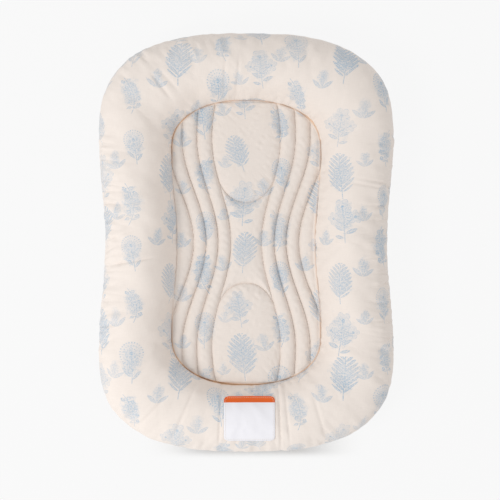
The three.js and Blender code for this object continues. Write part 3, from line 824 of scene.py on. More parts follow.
class Surface:
    """A material under construction."""

    def __init__(self, name, colour, roughness, sheen=0.0):
        self.material = bpy.data.materials.new(name)
        self.material.use_nodes = True
        self.tree = self.material.node_tree
        self.shader = self.tree.nodes["Principled BSDF"]
        self.colour = self.constant(colour)
        self.shader.inputs["Roughness"].default_value = roughness
        self.shader.inputs["Specular IOR Level"].default_value = 0.3
        self.shader.inputs["Sheen Weight"].default_value = sheen
        self.shader.inputs["Sheen Roughness"].default_value = 0.5
        self.normal = None

    def constant(self, colour):
        node = self.tree.nodes.new("ShaderNodeRGB")
        node.outputs[0].default_value = (*colour, 1)
        return node.outputs[0]

    def split(self, socket):
        node = self.tree.nodes.new("ShaderNodeSeparateXYZ")
        self.tree.links.new(socket, node.inputs[0])
        return [Field(self.tree, output) for output in node.outputs]

    def vector(self, x, y, z=0.0):
        node = self.tree.nodes.new("ShaderNodeCombineXYZ")
        for number, value in enumerate((x, y, z)):
            join(self.tree, value, node.inputs[number])
        return node.outputs[0]

    def attribute(self, name, output="Vector"):
        node = self.tree.nodes.new("ShaderNodeAttribute")
        node.attribute_name = name
        return node.outputs[output]

    def value(self, name):
        return Field(self.tree, self.attribute(name, "Fac"))

    def place(self):
        node = self.tree.nodes.new("ShaderNodeTexCoord")
        return node.outputs["Object"]

    def noise(self, vector, scale, detail=2.0, roughness=0.5):
        """Noise about 0.5; scale is the number of its blobs in a metre."""
        node = self.tree.nodes.new("ShaderNodeTexNoise")
        self.tree.links.new(vector, node.inputs["Vector"])
        node.inputs["Scale"].default_value = scale
        node.inputs["Detail"].default_value = detail
        node.inputs["Roughness"].default_value = roughness
        return Field(self.tree, node.outputs[0])

    def chances(self, x, y, seed):
        """Four random numbers, 0 to 1, for each whole x and y."""
        node = self.tree.nodes.new("ShaderNodeTexWhiteNoise")
        node.noise_dimensions = "3D"
        self.tree.links.new(self.vector(x, y, seed), node.inputs["Vector"])
        return [Field(self.tree, node.outputs["Value"]), *self.split(node.outputs["Color"])]

    def tint(self, mask, colour):
        """Mixes a colour in where the mask is 1."""
        node = self.tree.nodes.new("ShaderNodeMix")
        node.data_type = "RGBA"
        join(self.tree, mask, node.inputs[0])
        self.tree.links.new(self.colour, node.inputs[6])
        node.inputs[7].default_value = (*colour, 1)
        self.colour = node.outputs[2]

    def shade(self, factor):
        """Makes the colour lighter or darker by a factor near 1."""
        node = self.tree.nodes.new("ShaderNodeMix")
        node.data_type = "RGBA"
        node.blend_type = "MULTIPLY"
        node.inputs[0].default_value = 1
        self.tree.links.new(self.colour, node.inputs[6])
        grey = self.tree.nodes.new("ShaderNodeCombineColor")
        for socket in grey.inputs:
            join(self.tree, factor, socket)
        self.tree.links.new(grey.outputs[0], node.inputs[7])
        self.colour = node.outputs[2]

    def bump(self, height, distance, strength=1.0):
        """Adds relief; distance is its full height in metres."""
        node = self.tree.nodes.new("ShaderNodeBump")
        node.inputs["Strength"].default_value = strength
        node.inputs["Distance"].default_value = distance
        join(self.tree, height, node.inputs["Height"])
        if self.normal is not None:
            self.tree.links.new(self.normal, node.inputs["Normal"])
        self.normal = node.outputs[0]

    def done(self):
        self.tree.links.new(self.colour, self.shader.inputs["Base Color"])
        if self.normal is not None:
            self.tree.links.new(self.normal, self.shader.inputs["Normal"])
        return self.material


# Motifs of the print. Their coordinates are shares of the motif's own size, from -0.5 to 0.5.

INK_EDGE = 0.011
STEM = 0.008
STEM_END = 0.01


def inner_line(edge, inside, softness):
    """1 along a line that runs a distance inside an edge."""
    return 1 - (edge - inside).abs().rise(0, softness)


def stem_between(off, y, low, high):
    """A thin stem where a distance is near 0, between two heights."""
    line = off.within(STEM, INK_EDGE / 2)
    return line * y.within(high, STEM_END) * (0 - y).within(-low, STEM_END)


def leaf(x, y, base, degrees, length, width):
    """One pointed leaf with a light rib, from its base outwards."""
    turn = math.radians(degrees)
    right, up = x - base[0], y - base[1]
    along = (right * math.cos(turn) + up * math.sin(turn)) / length
    across = (up * math.cos(turn) - right * math.sin(turn)).abs()
    inside = (along * (1 - along)).most(0)
    edge = inside * (4 * width) - across
    fill = edge.rise(0, 2 * INK_EDGE)
    outline = inner_line(edge, INK_EDGE, 2 * INK_EDGE)
    rib = across.within(INK_EDGE / 2, INK_EDGE / 2)
    return fill * (outline * 0.3 + 0.7 - rib * 0.3)


def stroke(x, y, start, end):
    """A straight stroke of the pen between two points."""
    dx, dy = end[0] - start[0], end[1] - start[1]
    length = math.hypot(dx, dy)
    right, up = x - start[0], y - start[1]
    along = (right * (dx / length) + up * (dy / length)).most(0).least(length)
    off = distance(right - along * (dx / length), up - along * (dy / length))
    return off.within(STEM, INK_EDGE / 2)


def leafy_sprig(x, y):
    """A bent stem with pairs of leaves that shorten towards its tip."""
    bent = x - (y * 3.1 + 0.4).sin() * 0.05
    side = bent.abs()
    envelope = 1 - ((y - 0.08) / 0.4) * ((y - 0.08) / 0.4)
    length = envelope.most(0.0001).sqrt() * 0.3
    spacing = 0.105
    up = (y - side * 0.85) / spacing + bent.above(0) * 0.5
    off = (up.fract() - 0.5).abs()
    share = (side / length).least(1)
    half = (share * (1 - share)).most(0).sqrt() * 0.78
    edge = half - off
    fill = edge.rise(0, 0.1) * envelope.above(0)
    outline = inner_line(edge, 0.1, 0.12)
    rib = off.within(0.04, 0.03)
    leaves = fill * (outline * 0.3 + 0.7 - rib * 0.25)
    return union(leaves, stem_between(side, y, -0.48, 0.44))


def seed_head(x, y):
    """A round head of fine rays with a seed at the end of each."""
    right, up = x, y - 0.2
    off = distance(right, up)
    turn = up.math("ARCTAN2", right) / (2 * math.pi)
    head = off.below(0)
    for count, reach, seed in ((26, 0.25, 0.014), (19, 0.18, 0.012), (13, 0.11, 0.01)):
        aside = ((turn * count).fract() - 0.5).abs() * off * (2 * math.pi / count)
        ray = aside.within(0.004, 0.005) * off.within(reach, 0.006) * 0.5
        dot = distance(aside, off - reach).within(seed, 0.008)
        head = union(head, ray, dot)
    core = off.within(0.04, 0.006)
    halo = off.within(0.27, 0.03) * 0.18
    bent = x - (y * 2.6 + 0.2).sin() * 0.04 + 0.028
    stem = stem_between(bent.abs(), y, -0.48, 0.19)
    left = leaf(x, y, (-0.05, -0.4), 128, 0.3, 0.045)
    right_leaf = leaf(x, y, (-0.04, -0.34), 48, 0.34, 0.05)
    return union(head, core, halo, stem, left, right_leaf)


def flower(x, y, centre, radius, degrees):
    """An open flower of five petals."""
    right, up = x - centre[0], y - centre[1]
    off = distance(right, up) / radius
    turn = up.math("ARCTAN2", right) + math.radians(degrees)
    petal = (turn * 2.5).cos().abs() * 0.36 + 0.64
    edge = petal - off
    fill = edge.rise(0, 0.08)
    outline = inner_line(edge, 0.06, 0.1)
    rays = (turn * 15).cos().rise(0.2, 1) * off.rise(0.3, 0.4) * off.within(0.7, 0.1)
    core = off.within(0.2, 0.04)
    return fill * union(outline * 0.75, rays * 0.5, core).most(0.3)


def blossom_spray(x, y):
    """Three open flowers and their leaves on forking stems."""
    fork = (0.0, -0.12)
    flowers = (((-0.03, 0.27), 0.19, 10), ((-0.24, 0.03), 0.14, 40), ((0.23, 0.06), 0.155, -20))
    parts = [stroke(x, y, (0.02, -0.49), fork)]
    for centre, radius, degrees in flowers:
        parts.append(stroke(x, y, fork, centre))
        parts.append(flower(x, y, centre, radius, degrees))
    parts.append(leaf(x, y, (0.01, -0.3), 22, 0.3, 0.055))
    parts.append(leaf(x, y, (0.01, -0.24), 152, 0.28, 0.05))
    parts.append(leaf(x, y, (0.015, -0.4), 165, 0.24, 0.045))
    return union(*parts)


def berry_branch(x, y):
    """An arching branch with round berries and small leaves in turn."""
    bent = x - (y + 0.1) * (y + 0.1) * 0.7 + 0.07
    side = bent.abs()
    spacing = 0.17
    span = y.within(0.4, 0.02) * (0 - y).within(0.36, 0.02)
    phase = (y / spacing + bent.above(0) * 0.5).fract() - 0.5
    off = distance(side - 0.1, phase * spacing)
    berry = off.within(0.047, 0.014)
    ring = 1 - (off - 0.04).abs().rise(0.004, 0.012)
    gleam = distance(bent.abs() - 0.087, phase * spacing - 0.014).within(0.012, 0.006)
    berries = berry * (ring * 0.5 + 0.6 - gleam * 0.5)
    stalk = (phase * spacing + (side - 0.1) * 0.3).abs().within(0.005, 0.003) * side.within(0.1, 0.01)
    up = (y / spacing - side * 2.4 + bent.above(0) * 0.5 + 0.5).fract() - 0.5
    share = (side / 0.17).least(1)
    edge = (share * (1 - share)).most(0).sqrt() * 0.5 - up.abs()
    leaves = edge.rise(0, 0.06) * (inner_line(edge, 0.06, 0.09) * 0.4 + 0.4)
    return union(berries * span, stalk * span, leaves * span, stem_between(side, y, -0.49, 0.47))


def small_tuft(x, y):
    """Three small leaves, which fill the space between the motifs."""
    return union(
        leaf(x, y, (0, -0.4), 90, 0.75, 0.1),
        leaf(x, y, (0, -0.4), 38, 0.6, 0.09),
        leaf(x, y, (0, -0.4), 142, 0.6, 0.09),
    )


def cell_places(surface, x, y, shift, seed, size, wander):
    """Coordinates inside each cell of the half-drop layout, and random numbers for the cell."""
    x = x + shift[0]
    column = (x / CELL_WIDTH).floor()
    y = y + shift[1] + (column * 0.5).fract() * CELL_HEIGHT
    row = (y / CELL_HEIGHT).floor()
    in_column = (column / REPEAT_COLUMNS).fract() * REPEAT_COLUMNS
    in_row = (row / REPEAT_ROWS).fract() * REPEAT_ROWS
    rounded = [(number + 0.5).floor() for number in (in_column, in_row)]
    chances = surface.chances(rounded[0], rounded[1], seed)
    right = x - (column + 0.5) * CELL_WIDTH - (chances[1] - 0.5) * wander
    up = y - (row + 0.5) * CELL_HEIGHT - (chances[2] - 0.5) * wander
    size = ((chances[1] * 7 + chances[3] * 5).fract() * 0.4 + 0.7) * size
    tilt = (chances[3] - 0.5) * 0.5
    mirror = chances[0].above(0.5) * 2 - 1
    across = (right * tilt.cos() + up * tilt.sin()) / size * mirror
    along = (up * tilt.cos() - right * tilt.sin()) / size
    return across, along, column, row, chances


def wash(surface, flat, across, along):
    """A watery patch of ink behind a motif, with a ragged edge."""
    ragged = surface.noise(flat, scale=75.0, detail=4.0, roughness=0.65)
    reach = distance(across * 1.4, along - 0.05) + (ragged - 0.5) * 0.7
    mottled = surface.noise(flat, scale=350.0, detail=3.0, roughness=0.7).rise(0.4, 0.6)
    return reach.within(0.29, 0.12) * (mottled * 0.5 + 0.32)


def print_ink(surface, x, y):
    """Strength of the printed ink, 0 to 1, at places on the flat cloth."""
    across, along, column, row, chances = cell_places(
        surface, x, y, LAYOUT_SHIFT, 3.0, MOTIF_SIZE, MOTIF_WANDER
    )
    kind = ((column + row * 2) / 4).fract() * 4
    motifs = (leafy_sprig, seed_head, blossom_spray, berry_branch)
    ink = None
    for number, motif in enumerate(motifs):
        chosen = (kind - number).abs().below(0.5)
        drawn = motif(across, along) * chosen
        ink = drawn if ink is None else ink + drawn
    flat = surface.vector(x, y)
    behind = wash(surface, flat, across, along)
    filler_shift = (LAYOUT_SHIFT[0] + CELL_WIDTH / 2, LAYOUT_SHIFT[1] + CELL_HEIGHT * 0.25)
    across, along, _, _, filler_chances = cell_places(
        surface, x, y, filler_shift, 8.0, FILLER_SIZE, FILLER_WANDER
    )
    filler = union(small_tuft(across, along), wash(surface, flat, across, along))
    ink = union(ink, behind, filler * filler_chances[0].above(0.3) * 0.8)
    dapple = surface.noise(flat, scale=380.0, detail=3.0, roughness=0.65).rise(0.38, 0.6) * 0.6 + 0.4
    fade = surface.noise(flat, scale=14.0, detail=1.0).rise(0.3, 0.65) * 0.3 + 0.7
    strength = chances[2] * 0.2 + 0.8
    return ink * dapple * fade * strength


def cotton(name, colour, roughness=0.92, ink=False, painted_crevice_shade=False):
    """Soft woven cotton, plain or printed, with painted warm shade deep in its seams and stitched
    valleys.
    """
    surface = Surface(name, colour, roughness, sheen=0.12)
    x, y, _ = surface.split(surface.attribute("fabric_pos"))
    if ink:
        surface.tint(print_ink(surface, x, y) * 0.9, INK)
    warp = surface.noise(surface.vector(x * 1100, y * 70), scale=1.0, detail=2.0)
    weft = surface.noise(surface.vector(x * 70, y * 1100), scale=1.0, detail=2.0)
    slub = warp + weft
    surface.shade(slub * 0.07 + 0.93)
    if painted_crevice_shade:
        # Painted shade in seams and valleys: the warm glow first, then the darker fold colour where it
        # is deepest
        depth = surface.value("painted_crevice_shade")
        surface.tint(depth, PAINTED_FOLD_GLOW)
        surface.tint(depth * depth * 0.7, PAINTED_FOLD_SHADE)
    wrinkle = surface.noise(surface.vector(x, y), scale=55.0, detail=3.0, roughness=0.55)
    surface.bump(wrinkle, WRINKLE_DEPTH, 0.35)
    surface.bump(slub, SLUB_DEPTH, 0.4)
    return surface.done()


def thread_material():
    surface = Surface("thread", THREAD, 0.8, sheen=0.1)
    x, y, z = surface.split(surface.place())
    twist = ((x + y + z) * 9000).sin()
    surface.bump(twist, TWIST_DEPTH, 0.5)
    surface.shade(twist * 0.06 + 0.97)
    return surface.done()


def satin_material():
    """Smooth white satin with a plain orange band along the side near the pad."""
    surface = Surface("patch_satin", SATIN, 0.5, sheen=0.1)
    x, y, _ = surface.split(surface.attribute("fabric_pos"))
    band = y.within(PATCH_BAND, BAND_SOFTNESS)
    surface.tint(band, ORANGE)
    rib = (y * 5200).sin()
    grain = surface.noise(surface.vector(x * 60, y * 1500), scale=1.0, detail=2.0)
    surface.shade(grain * 0.06 + 0.95)
    surface.bump(rib, SATIN_RIB_DEPTH, 0.3)
    surface.bump(surface.noise(surface.vector(x, y), scale=40.0, detail=2.0), SATIN_WAVE_DEPTH, 0.3)
    return surface.done()


def tape_material():
    """Woven zip tape, ribbed along its length with a herringbone."""
    surface = Surface("zip_tape", ZIP_CREAM, 0.85, sheen=0.1)
    x, y, _ = surface.split(surface.place())
    zigzag = ((x * 500).fract() - 0.5).abs() * 2
    twill = ((y * 1100 + zigzag * 1.2) * math.pi).sin()
    surface.shade(twill * 0.05 + 0.95)
    surface.bump(twill, TWILL_DEPTH, 0.6)
    return surface.done()


def plastic_material():
    surface = Surface("zip_plastic", ZIP_CREAM, 0.38)
    surface.shader.inputs["Specular IOR Level"].default_value = 0.5
    grain = surface.noise(surface.place(), scale=900.0, detail=2.0)
    surface.shade(grain * 0.06 + 0.97)
    surface.bump(grain, GRAIN_DEPTH, 0.3)
    return surface.done()


def metal_material():
    """Metal under a thin coat of cream paint, worn a little at random."""
    surface = Surface("zip_metal", PAINT, 0.32)
    surface.shader.inputs["Metallic"].default_value = 0.25
    surface.shader.inputs["Coat Weight"].default_value = 0.3
    surface.shader.inputs["Coat Roughness"].default_value = 0.15
    wear = surface.noise(surface.place(), scale=500.0, detail=3.0)
    surface.tint(wear.rise(0.66, 0.74) * 0.6, BARE_METAL)
    surface.bump(wear, WEAR_DEPTH, 0.3)
    return surface.done()


def elastic_material():
    surface = Surface("elastic", ELASTIC_WHITE, 0.8, sheen=0.1)
    x, y, z = surface.split(surface.place())
    cords = (z * 4200).sin()
    picks = ((x + y) * 2600).sin()
    surface.shade(cords * 0.06 + 0.94)
    surface.bump(cords * 0.7 + picks * 0.3, CORD_DEPTH, 0.6)
    return surface.done()


def foam_material():
    surface = Surface("foam", FOAM_YELLOW, 0.95)
    pores = surface.noise(surface.place(), scale=1400.0, detail=3.0, roughness=0.7)
    surface.shade(pores.rise(0.3, 0.7) * 0.14 + 0.88)
    surface.bump(pores, PORE_DEPTH, 0.6)
    return surface.done()


made_materials = {}


def material(name):
    """The material of that name, made when it is first asked for."""
    makers = {
        "printed_cloth": lambda: cotton("printed_cloth", CREAM, ink=True, painted_crevice_shade=True),
        "quilted_cloth": lambda: cotton("quilted_cloth", PAINTED_SHADE_QUILT_CREAM, ink=True, painted_crevice_shade=True),
        "plain_cloth": lambda: cotton("plain_cloth", PLAIN_CREAM),
        "thread": thread_material,
        "patch_satin": satin_material,
        "zip_tape": tape_material,
        "zip_plastic": plastic_material,
        "zip_metal": metal_material,
        "elastic": elastic_material,
        "foam": foam_material,
    }
    if name not in made_materials:
        made_materials[name] = makers[name]()
    return made_materials[name]


def dress(made, name):
    """Gives a piece its material."""
    made.data.materials.clear()
    made.data.materials.append(material(name))
    return made


# Bolster

def ring_stations(count):
    """Stations spaced evenly along the middle of the bolster: inner points, widths, directions."""
    turns = np.linspace(0, 4, RING_SAMPLES)
    middle = (LOUNGER.point(turns) + PAD.point(turns)) / 2
    travelled = travel(np.hypot(*np.diff(middle, axis=0).T))
    along = np.arange(count) / count * travelled[-1]
    turns = np.interp(along, travelled, turns)
    inner = PAD.point(turns)
    outer = LOUNGER.point(turns)
    width = np.hypot(*(outer - inner).T)
    outward = (outer - inner) / width[:, None]
    return inner, width, outward, along, travelled[-1]


def section_point(degrees, width):
    """Outside of the bolster's section: 180 degrees at the pad, 90 at the crown, 0 at its widest."""
    degrees, width = np.broadcast_arrays(degrees, width)
    turn = np.radians(degrees)
    aside = np.sign(np.cos(turn)) * np.abs(np.cos(turn)) ** (2 / BOLSTER_POWER)
    up = np.abs(np.sin(turn)) ** (2 / BOLSTER_POWER)
    edge = np.where(degrees > 90, PAD_SEAM, WIDEST)
    above = edge + (CROWN - edge) * up
    below = np.maximum(0, WIDEST - (WIDEST + FLOOR_SQUASH) * up)
    return width * (1 + aside) / 2, np.where(degrees < 0, below, above)


def base_rise(share):
    """Height of the underside at a share of the bolster's width from the pad's outline."""
    return BASE_RISE * (1 - smooth(PLATEAU_SHARE, BAND_INNER_SHARE, share))


def even_degrees(high, low, count):
    """Angles that space points evenly along the section, and the distance travelled to each."""
    degrees = np.linspace(high, low, SECTION_SAMPLES)
    x, z = section_point(degrees, NOMINAL_WIDTH)
    travelled = travel(np.hypot(np.diff(x), np.diff(z)))
    wanted = np.linspace(0, travelled[-1], count)
    return np.interp(wanted, travelled, degrees), wanted


def placed(inner, outward, x, z):
    """Section points carried to their stations."""
    return np.dstack([inner[:, None, :] + outward[:, None, :] * x[..., None], z])


# Creases read from the photograph: both ends in its pixels, then width and depth in millimetres
PHOTO_CREASES = (
    ((104, 266), (158, 257), 2.6, 3.2),
    ((108, 218), (136, 214), 2.6, 2),
    ((104, 206), (150, 202), 3, 1.2),
    ((278, 384), (281, 452), 2.4, 2.8),
    ((284, 386), (290, 446), 2.6, 2),
    ((222, 384), (219, 450), 2.6, 2.2),
    ((252, 384), (252, 398), 2.4, 1.6),
    ((196, 386), (172, 440), 3.4, 1.8),
    ((170, 392), (140, 424), 3.4, 1.6),
    ((240, 60), (236, 98), 3, 1.6),
    ((226, 62), (224, 96), 3, 1.6),
    ((153, 76), (173, 102), 4, 3),
    ((160, 72), (182, 96), 4, 1.6),
    ((352, 214), (388, 206), 2.6, 2),
    ((350, 184), (386, 190), 2.6, 1.8),
    ((312, 392), (326, 440), 3.4, 1.8),
)


def bolster_relief(places, along, loop_length, away):
    """How far the bolster's cloth stands out from its smooth form."""
    x, y = places[..., 0], places[..., 1]
    from_lower = away[-1] - away
    line = along[:, None]
    relief = waves(11, BROAD_WAVE, line, away) + waves(12, SHORT_WAVE, line, away)
    on_side = 1 - smooth(*SIDE_END, np.abs(y))
    gathered = Puckers(21, loop_length, *GATHERS)(line, from_lower)
    eased = Puckers(22, loop_length, *EASING)(line, from_lower)
    at_pad = Puckers(23, loop_length, *PAD_PUCKERS)(line, away)
    tightness = blend(LEFT_TIGHTNESS, RIGHT_TIGHTNESS, smooth(*TIGHTER_FROM, x))
    relief = relief - gathered * blend(END_GATHERS_SHARE, 1, on_side) * tightness
    relief = relief - eased * blend(END_EASING_SHARE, 1, on_side) - at_pad
    relief = relief * (1 - OUTLINE_CALM_SHARE * at_outline(away))
    for start, end, width, depth in PHOTO_CREASES:
        dent = crease(x, y, from_photo(*start), from_photo(*end), width * MM)
        relief = relief - depth * MM * dent
    held = smooth(*HELD_AT_PAD, away) * smooth(*HELD_AT_LOWER_SEAM, from_lower)
    return relief * blend(HELD_SHARE, 1, held)


def at_outline(away):
    """1 where the section is widest, fading up and down the cloth."""
    degrees, travelled = even_degrees(180, LOWER_SEAM_DEGREES, SECTION_COUNT)
    widest = np.interp(0, -degrees, travelled)
    return np.exp(-(((away - widest) / OUTLINE_REACH) ** 2))


def bolster_run():
    """Wrinkles that the bolster's cloth takes when it is stuffed, from a cloth run."""
    inner, width, outward, along, loop_length = ring_stations(RING_RUN_COUNT)
    degrees, away = even_degrees(180, LOWER_SEAM_DEGREES, SECTION_RUN_COUNT)
    x, z = section_point(degrees[None, :], width[:, None])
    places = placed(inner, outward, x, z)
    shares = np.array(RUN_FLOOR_SHARES)
    floor_z = np.tile(base_rise(shares) + BASE_THICKNESS, (RING_RUN_COUNT, 1))
    hidden = placed(inner, outward, np.outer(width, shares), floor_z)
    normals = grid_normals(places)
    line = along[:, None]
    from_lower = away[-1] - away
    near_lower = 1 - smooth(*RUN_LOWER_BAND, from_lower)
    near_pad = 1 - smooth(*RUN_PAD_BAND, away)
    start = waves(51, RUN_LOWER_WAVE, line, away / 4) * near_lower
    start = start + waves(52, RUN_PAD_WAVE, line, away / 4) * near_pad
    start = start + waves(53, RUN_WAVE, line, away)
    held_in = smooth(*RUN_HELD_AT_PAD, away) * smooth(*HELD_AT_LOWER_SEAM, from_lower)
    started = places + normals * (start * held_in)[..., None]
    section = np.concatenate([started, hidden], 1)
    rows, columns = section.shape[:2]
    faces = grid_faces(rows, columns, wrap_rows=True, wrap_columns=True)
    held = np.zeros((rows, columns), bool)
    held[:, 0] = True
    held[:, SECTION_RUN_COUNT - 1:] = True
    on_side = 1 - smooth(*RUN_SIDE_END, np.abs(places[..., 1]))
    at_lower = (1 - smooth(*SPARE_AT_LOWER_SEAM, from_lower)) * blend(END_SPARE_SHARE, 1, on_side)
    at_pad = (1 - smooth(*SPARE_AT_PAD, away)) * PAD_SPARE_SHARE
    spare = np.zeros((rows, columns))
    most = np.maximum(at_lower, at_pad)
    spare[:, :SECTION_RUN_COUNT] = np.maximum(most, LEAST_SPARE_SHARE)
    moved = cloth_run(section.reshape(-1, 3), faces, held.ravel(), spare.ravel(), BOLSTER_SWELL)
    moved = moved.reshape(rows, columns, 3)[:, :SECTION_RUN_COUNT]
    offset = ((moved - places) * normals).sum(-1)
    steps = (loop_length / RING_RUN_COUNT, away[-1] / (SECTION_RUN_COUNT - 1))
    broad = blurred(offset, [BOLSTER_SMOOTHING / step for step in steps], (True, False))
    relief = (offset - broad) * blend(END_FOLDS, SIDE_FOLDS, on_side) + broad * BROAD_SHARE
    relief = relief * (1 - RUN_CALM_SHARE * at_outline(away))
    relief = np.clip(relief, -BOLSTER_CAP, BOLSTER_CAP) * smooth(*RUN_FADE_AT_PAD, away)
    return resampled(relief, RING_COUNT, SECTION_COUNT, wrapped=True)


def eased_height(x, z, degrees, width, inner):
    """Heights of the section with a gentler slope down to the pad, less so at the foot."""
    aside = np.abs(2 * x / width[:, None] - 1)
    gentle = PAD_SEAM + (CROWN - PAD_SEAM) * (1 - aside**BOLSTER_POWER) ** SLOPE_POWER
    share = blend(STEEP_FOOT_SHARE, 1, smooth(*STEEP_FOOT, inner[:, 1])[:, None])
    return np.where(degrees[None, :] > 90, z + (gentle - z) * share, z)


def bolster_cloth():
    """The bolster's visible cloth as a grid of places, with its stations and measures."""
    inner, width, outward, along, loop_length = ring_stations(RING_COUNT)
    degrees, away = even_degrees(180, LOWER_SEAM_DEGREES, SECTION_COUNT)
    x, z = section_point(degrees[None, :], width[:, None])
    z = eased_height(x, z, degrees, width, inner)
    places = placed(inner, outward, x, z)
    relief = bolster_relief(places, along, loop_length, away)
    relief = relief + bolster_run()
    cloth = places + grid_normals(places) * relief[..., None]
    return cloth, inner, width, outward, degrees, away


def painted_seam_shade(x, y):
    """How much painted warm shade darkens the seam around the pad: most at the foot and in the left
    corners.
    """
    left = 1 - smooth(*LEFT_FROM, x)
    right = smooth(*RIGHT_FROM, x)
    foot = (1 - smooth(*FOOT_SEAM, y)) * blend(1, FOOT_RIGHT_SHARE, smooth(*FOOT_SEAM_FADE, x))
    end = smooth(*END_SEAM, np.abs(y)) * (END_SEAM_SHARE + LEFT_END_SEAM_SHARE * left)
    return np.maximum(foot, SEAM_SHARE + RIGHT_SEAM_SHARE * right + end)


def make_bolster(shape):
    cloth, inner, width, outward, degrees, away = shape
    lift = BASE_THICKNESS + 2 * SEAM_GAP
    under_x, under_z = section_point(np.array(UNDER_DEGREES)[None, :], width[:, None])
    under_x = under_x - np.array(UNDER_IN_SHARES) * lift
    under_z = np.maximum(under_z + np.array(UNDER_UP_SHARES) * lift, lift)
    shares = np.array(UNDER_FLOOR_SHARES)
    floor_z = np.tile(base_rise(shares) + lift, (RING_COUNT, 1))
    extra_x = np.concatenate([under_x, np.outer(width, shares)], 1)
    hidden = placed(inner, outward, extra_x, np.concatenate([under_z, floor_z], 1))
    section = np.concatenate([cloth, hidden], 1)
    rows, columns = section.shape[:2]
    faces = grid_faces(rows, columns, wrap_rows=True, wrap_columns=True)
    made = make_object("bolster", section.reshape(-1, 3), faces)
    crown_at = np.interp(-90, -degrees, away)
    out = np.concatenate([away, np.full(hidden.shape[1], away[-1])]) - crown_at
    flat_reach = (width[:, None] / 2 + out)[..., None]
    flat = inner[:, None, :] + outward[:, None, :] * flat_reach
    set_vectors(made, "fabric_pos", np.dstack([flat, np.zeros((rows, columns))]).reshape(-1, 3))
    # Painted warm shade along the seam with the pad, reaching further up the cloth where it is
    # strongest; the hidden cloth gets none
    shade = painted_seam_shade(*inner.T)[:, None]
    reach = SEAM_REACH + SEAM_FOOT_REACH * shade**5
    seam = shade * (1 - smooth(SEAM_START, reach, away[None, :]))
    seam = np.concatenate([seam, np.zeros((rows, hidden.shape[1]))], 1)
    set_values(made, "painted_crevice_shade", seam.ravel())
    set_smooth(made)
    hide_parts("bolster_cover", "bolster_fill")
    return dress(made, "printed_cloth")


def make_elastic(shape, side, name, node):
    """The elastic's strip, just inside the gathered cloth above its lower seam."""
    cloth, inner, _, _, _, away = shape
    normals = grid_normals(cloth)
    rows = np.where((np.abs(inner[:, 1]) < ELASTIC_REACH) & (inner[:, 0] * side > 0))[0]
    rows = rows[np.argsort(inner[rows, 1])]
    from_seam = away[-1] - away
    nearest = [np.argmin(np.abs(from_seam - ELASTIC_FROM_SEAM - share * ELASTIC_WIDTH))
               for share in (0, 0.5, 1)]
    outer = cloth[rows][:, nearest] - normals[rows][:, nearest] * ELASTIC_DEPTH
    inside = outer - normals[rows][:, nearest] * ELASTIC_THICKNESS
    points = np.concatenate([outer.reshape(-1, 3), inside.reshape(-1, 3)])
    made = make_object(name, points, layer_faces(len(rows), 3))
    set_smooth(made)
    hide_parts(node)
    return dress(made, "elastic")


# Quilted pad

def stitch_at(line, y):
    """Distance of a stitched line from the middle line of the pad."""
    waist, wide, end = line
    off = np.abs(y)
    inner = wide - (wide - waist) / 2 * (1 + np.cos(np.pi * np.minimum(off / STITCH_WIDE_AT, 1)))
    reach = np.maximum(off - STITCH_WIDE_AT, 0) / (PAD.half_length - STITCH_WIDE_AT)
    return inner - (wide - end) * reach**2


def tip_at(x):
    """Distance from the waist of an end panel's rounded tip."""
    share = np.clip(np.abs(x) / STITCH_LINES[0][1], 0, 1)
    return TIP_CENTRE_AT - TIP_LENGTH * (1 - share**TIP_POWER) ** (1 / TIP_POWER)


def tip_depth(x, y):
    """How far inside the rounded tip of an end panel a point lies."""
    wide = STITCH_LINES[0][1]
    return rounded_depth(
        x / wide, (TIP_CENTRE_AT - np.abs(y)) / TIP_LENGTH, wide, TIP_LENGTH, TIP_POWER
    )


def dome(depth, reach, power=DOME_ROUNDING):
    """Puffed height, 0 to 1, at a depth inside a seam, level from the reach on."""
    rest = 1 - np.clip(depth / reach, 0, 1)
    return (1 - rest**power) ** DOME_POWER


def channel_bounds(y):
    """Distances from the middle line of the stitched lines, with the pad's edge last."""
    bounds = [QUILT_PLAN.half_width_at(y)]
    for line in STITCH_LINES[::-1]:
        bounds.insert(0, np.minimum(stitch_at(line, y), bounds[0] - SLIMMEST_CHANNEL))
    return bounds


def quilt_height(x, y):
    """Height of the quilted face above its stitched valleys."""
    side = np.abs(x)
    bounds = channel_bounds(y)
    puff = np.zeros(x.shape)
    ripple = Unevenness(31, CHANNEL_CRINKLE_LENGTH)
    for number, (low, high) in enumerate(zip(bounds, bounds[1:])):
        share = np.clip((side - low) / (high - low), 0, 1)
        aside = np.abs(2 * share - 1)
        height = CHANNEL_PUFF * np.clip((high - low) / FULL_CHANNEL, 0, 1.08)
        bulge = (1 - aside**CHANNEL_ROUNDING) ** BULGE_POWER
        crinkle = ripple(y, np.sign(x) * (number + 1) * FULL_CHANNEL * 10) * CHANNEL_CRINKLE
        crinkle = crinkle * (1 - aside) ** 0.5 * (0.3 + 0.7 * aside)
        puff = np.where((side >= low) & (side <= high), height * bulge + crinkle, puff)
    ahead, behind = channel_bounds(y + SLOPE_STEP)[0], channel_bounds(y - SLOPE_STEP)[0]
    slope = (ahead - behind) / (2 * SLOPE_STEP)
    side_depth = (bounds[0] - side) / np.sqrt(1 + slope**2)
    tip = tip_depth(x, y)
    depth = np.where(np.abs(y) > TIP_CENTRE_AT, side_depth, np.minimum(side_depth, np.abs(tip)))
    edge = dome(depth, PANEL_EDGE_REACH)
    crown = dome(depth, PANEL_CROWN_REACH, CROWN_ROUNDING)
    panel = PANEL_PUFF * (PANEL_EDGE_SHARE * edge + (1 - PANEL_EDGE_SHARE) * crown)
    crinkle = waves(32, PANEL_CRINKLE, x, y) * edge * (1 - dome(depth, PANEL_CRINKLE_REACH))
    puff = np.where(side < bounds[0], panel + crinkle, puff)
    rim = QUILT_PLAN.depth(x, y)
    at_end = smooth(PAD.wide_at - RIM_SOFT_BEFORE, PAD.wide_at + RIM_SOFT_AFTER, np.abs(y))
    return puff * blend(1, dome(rim, RIM_REACH), at_end)


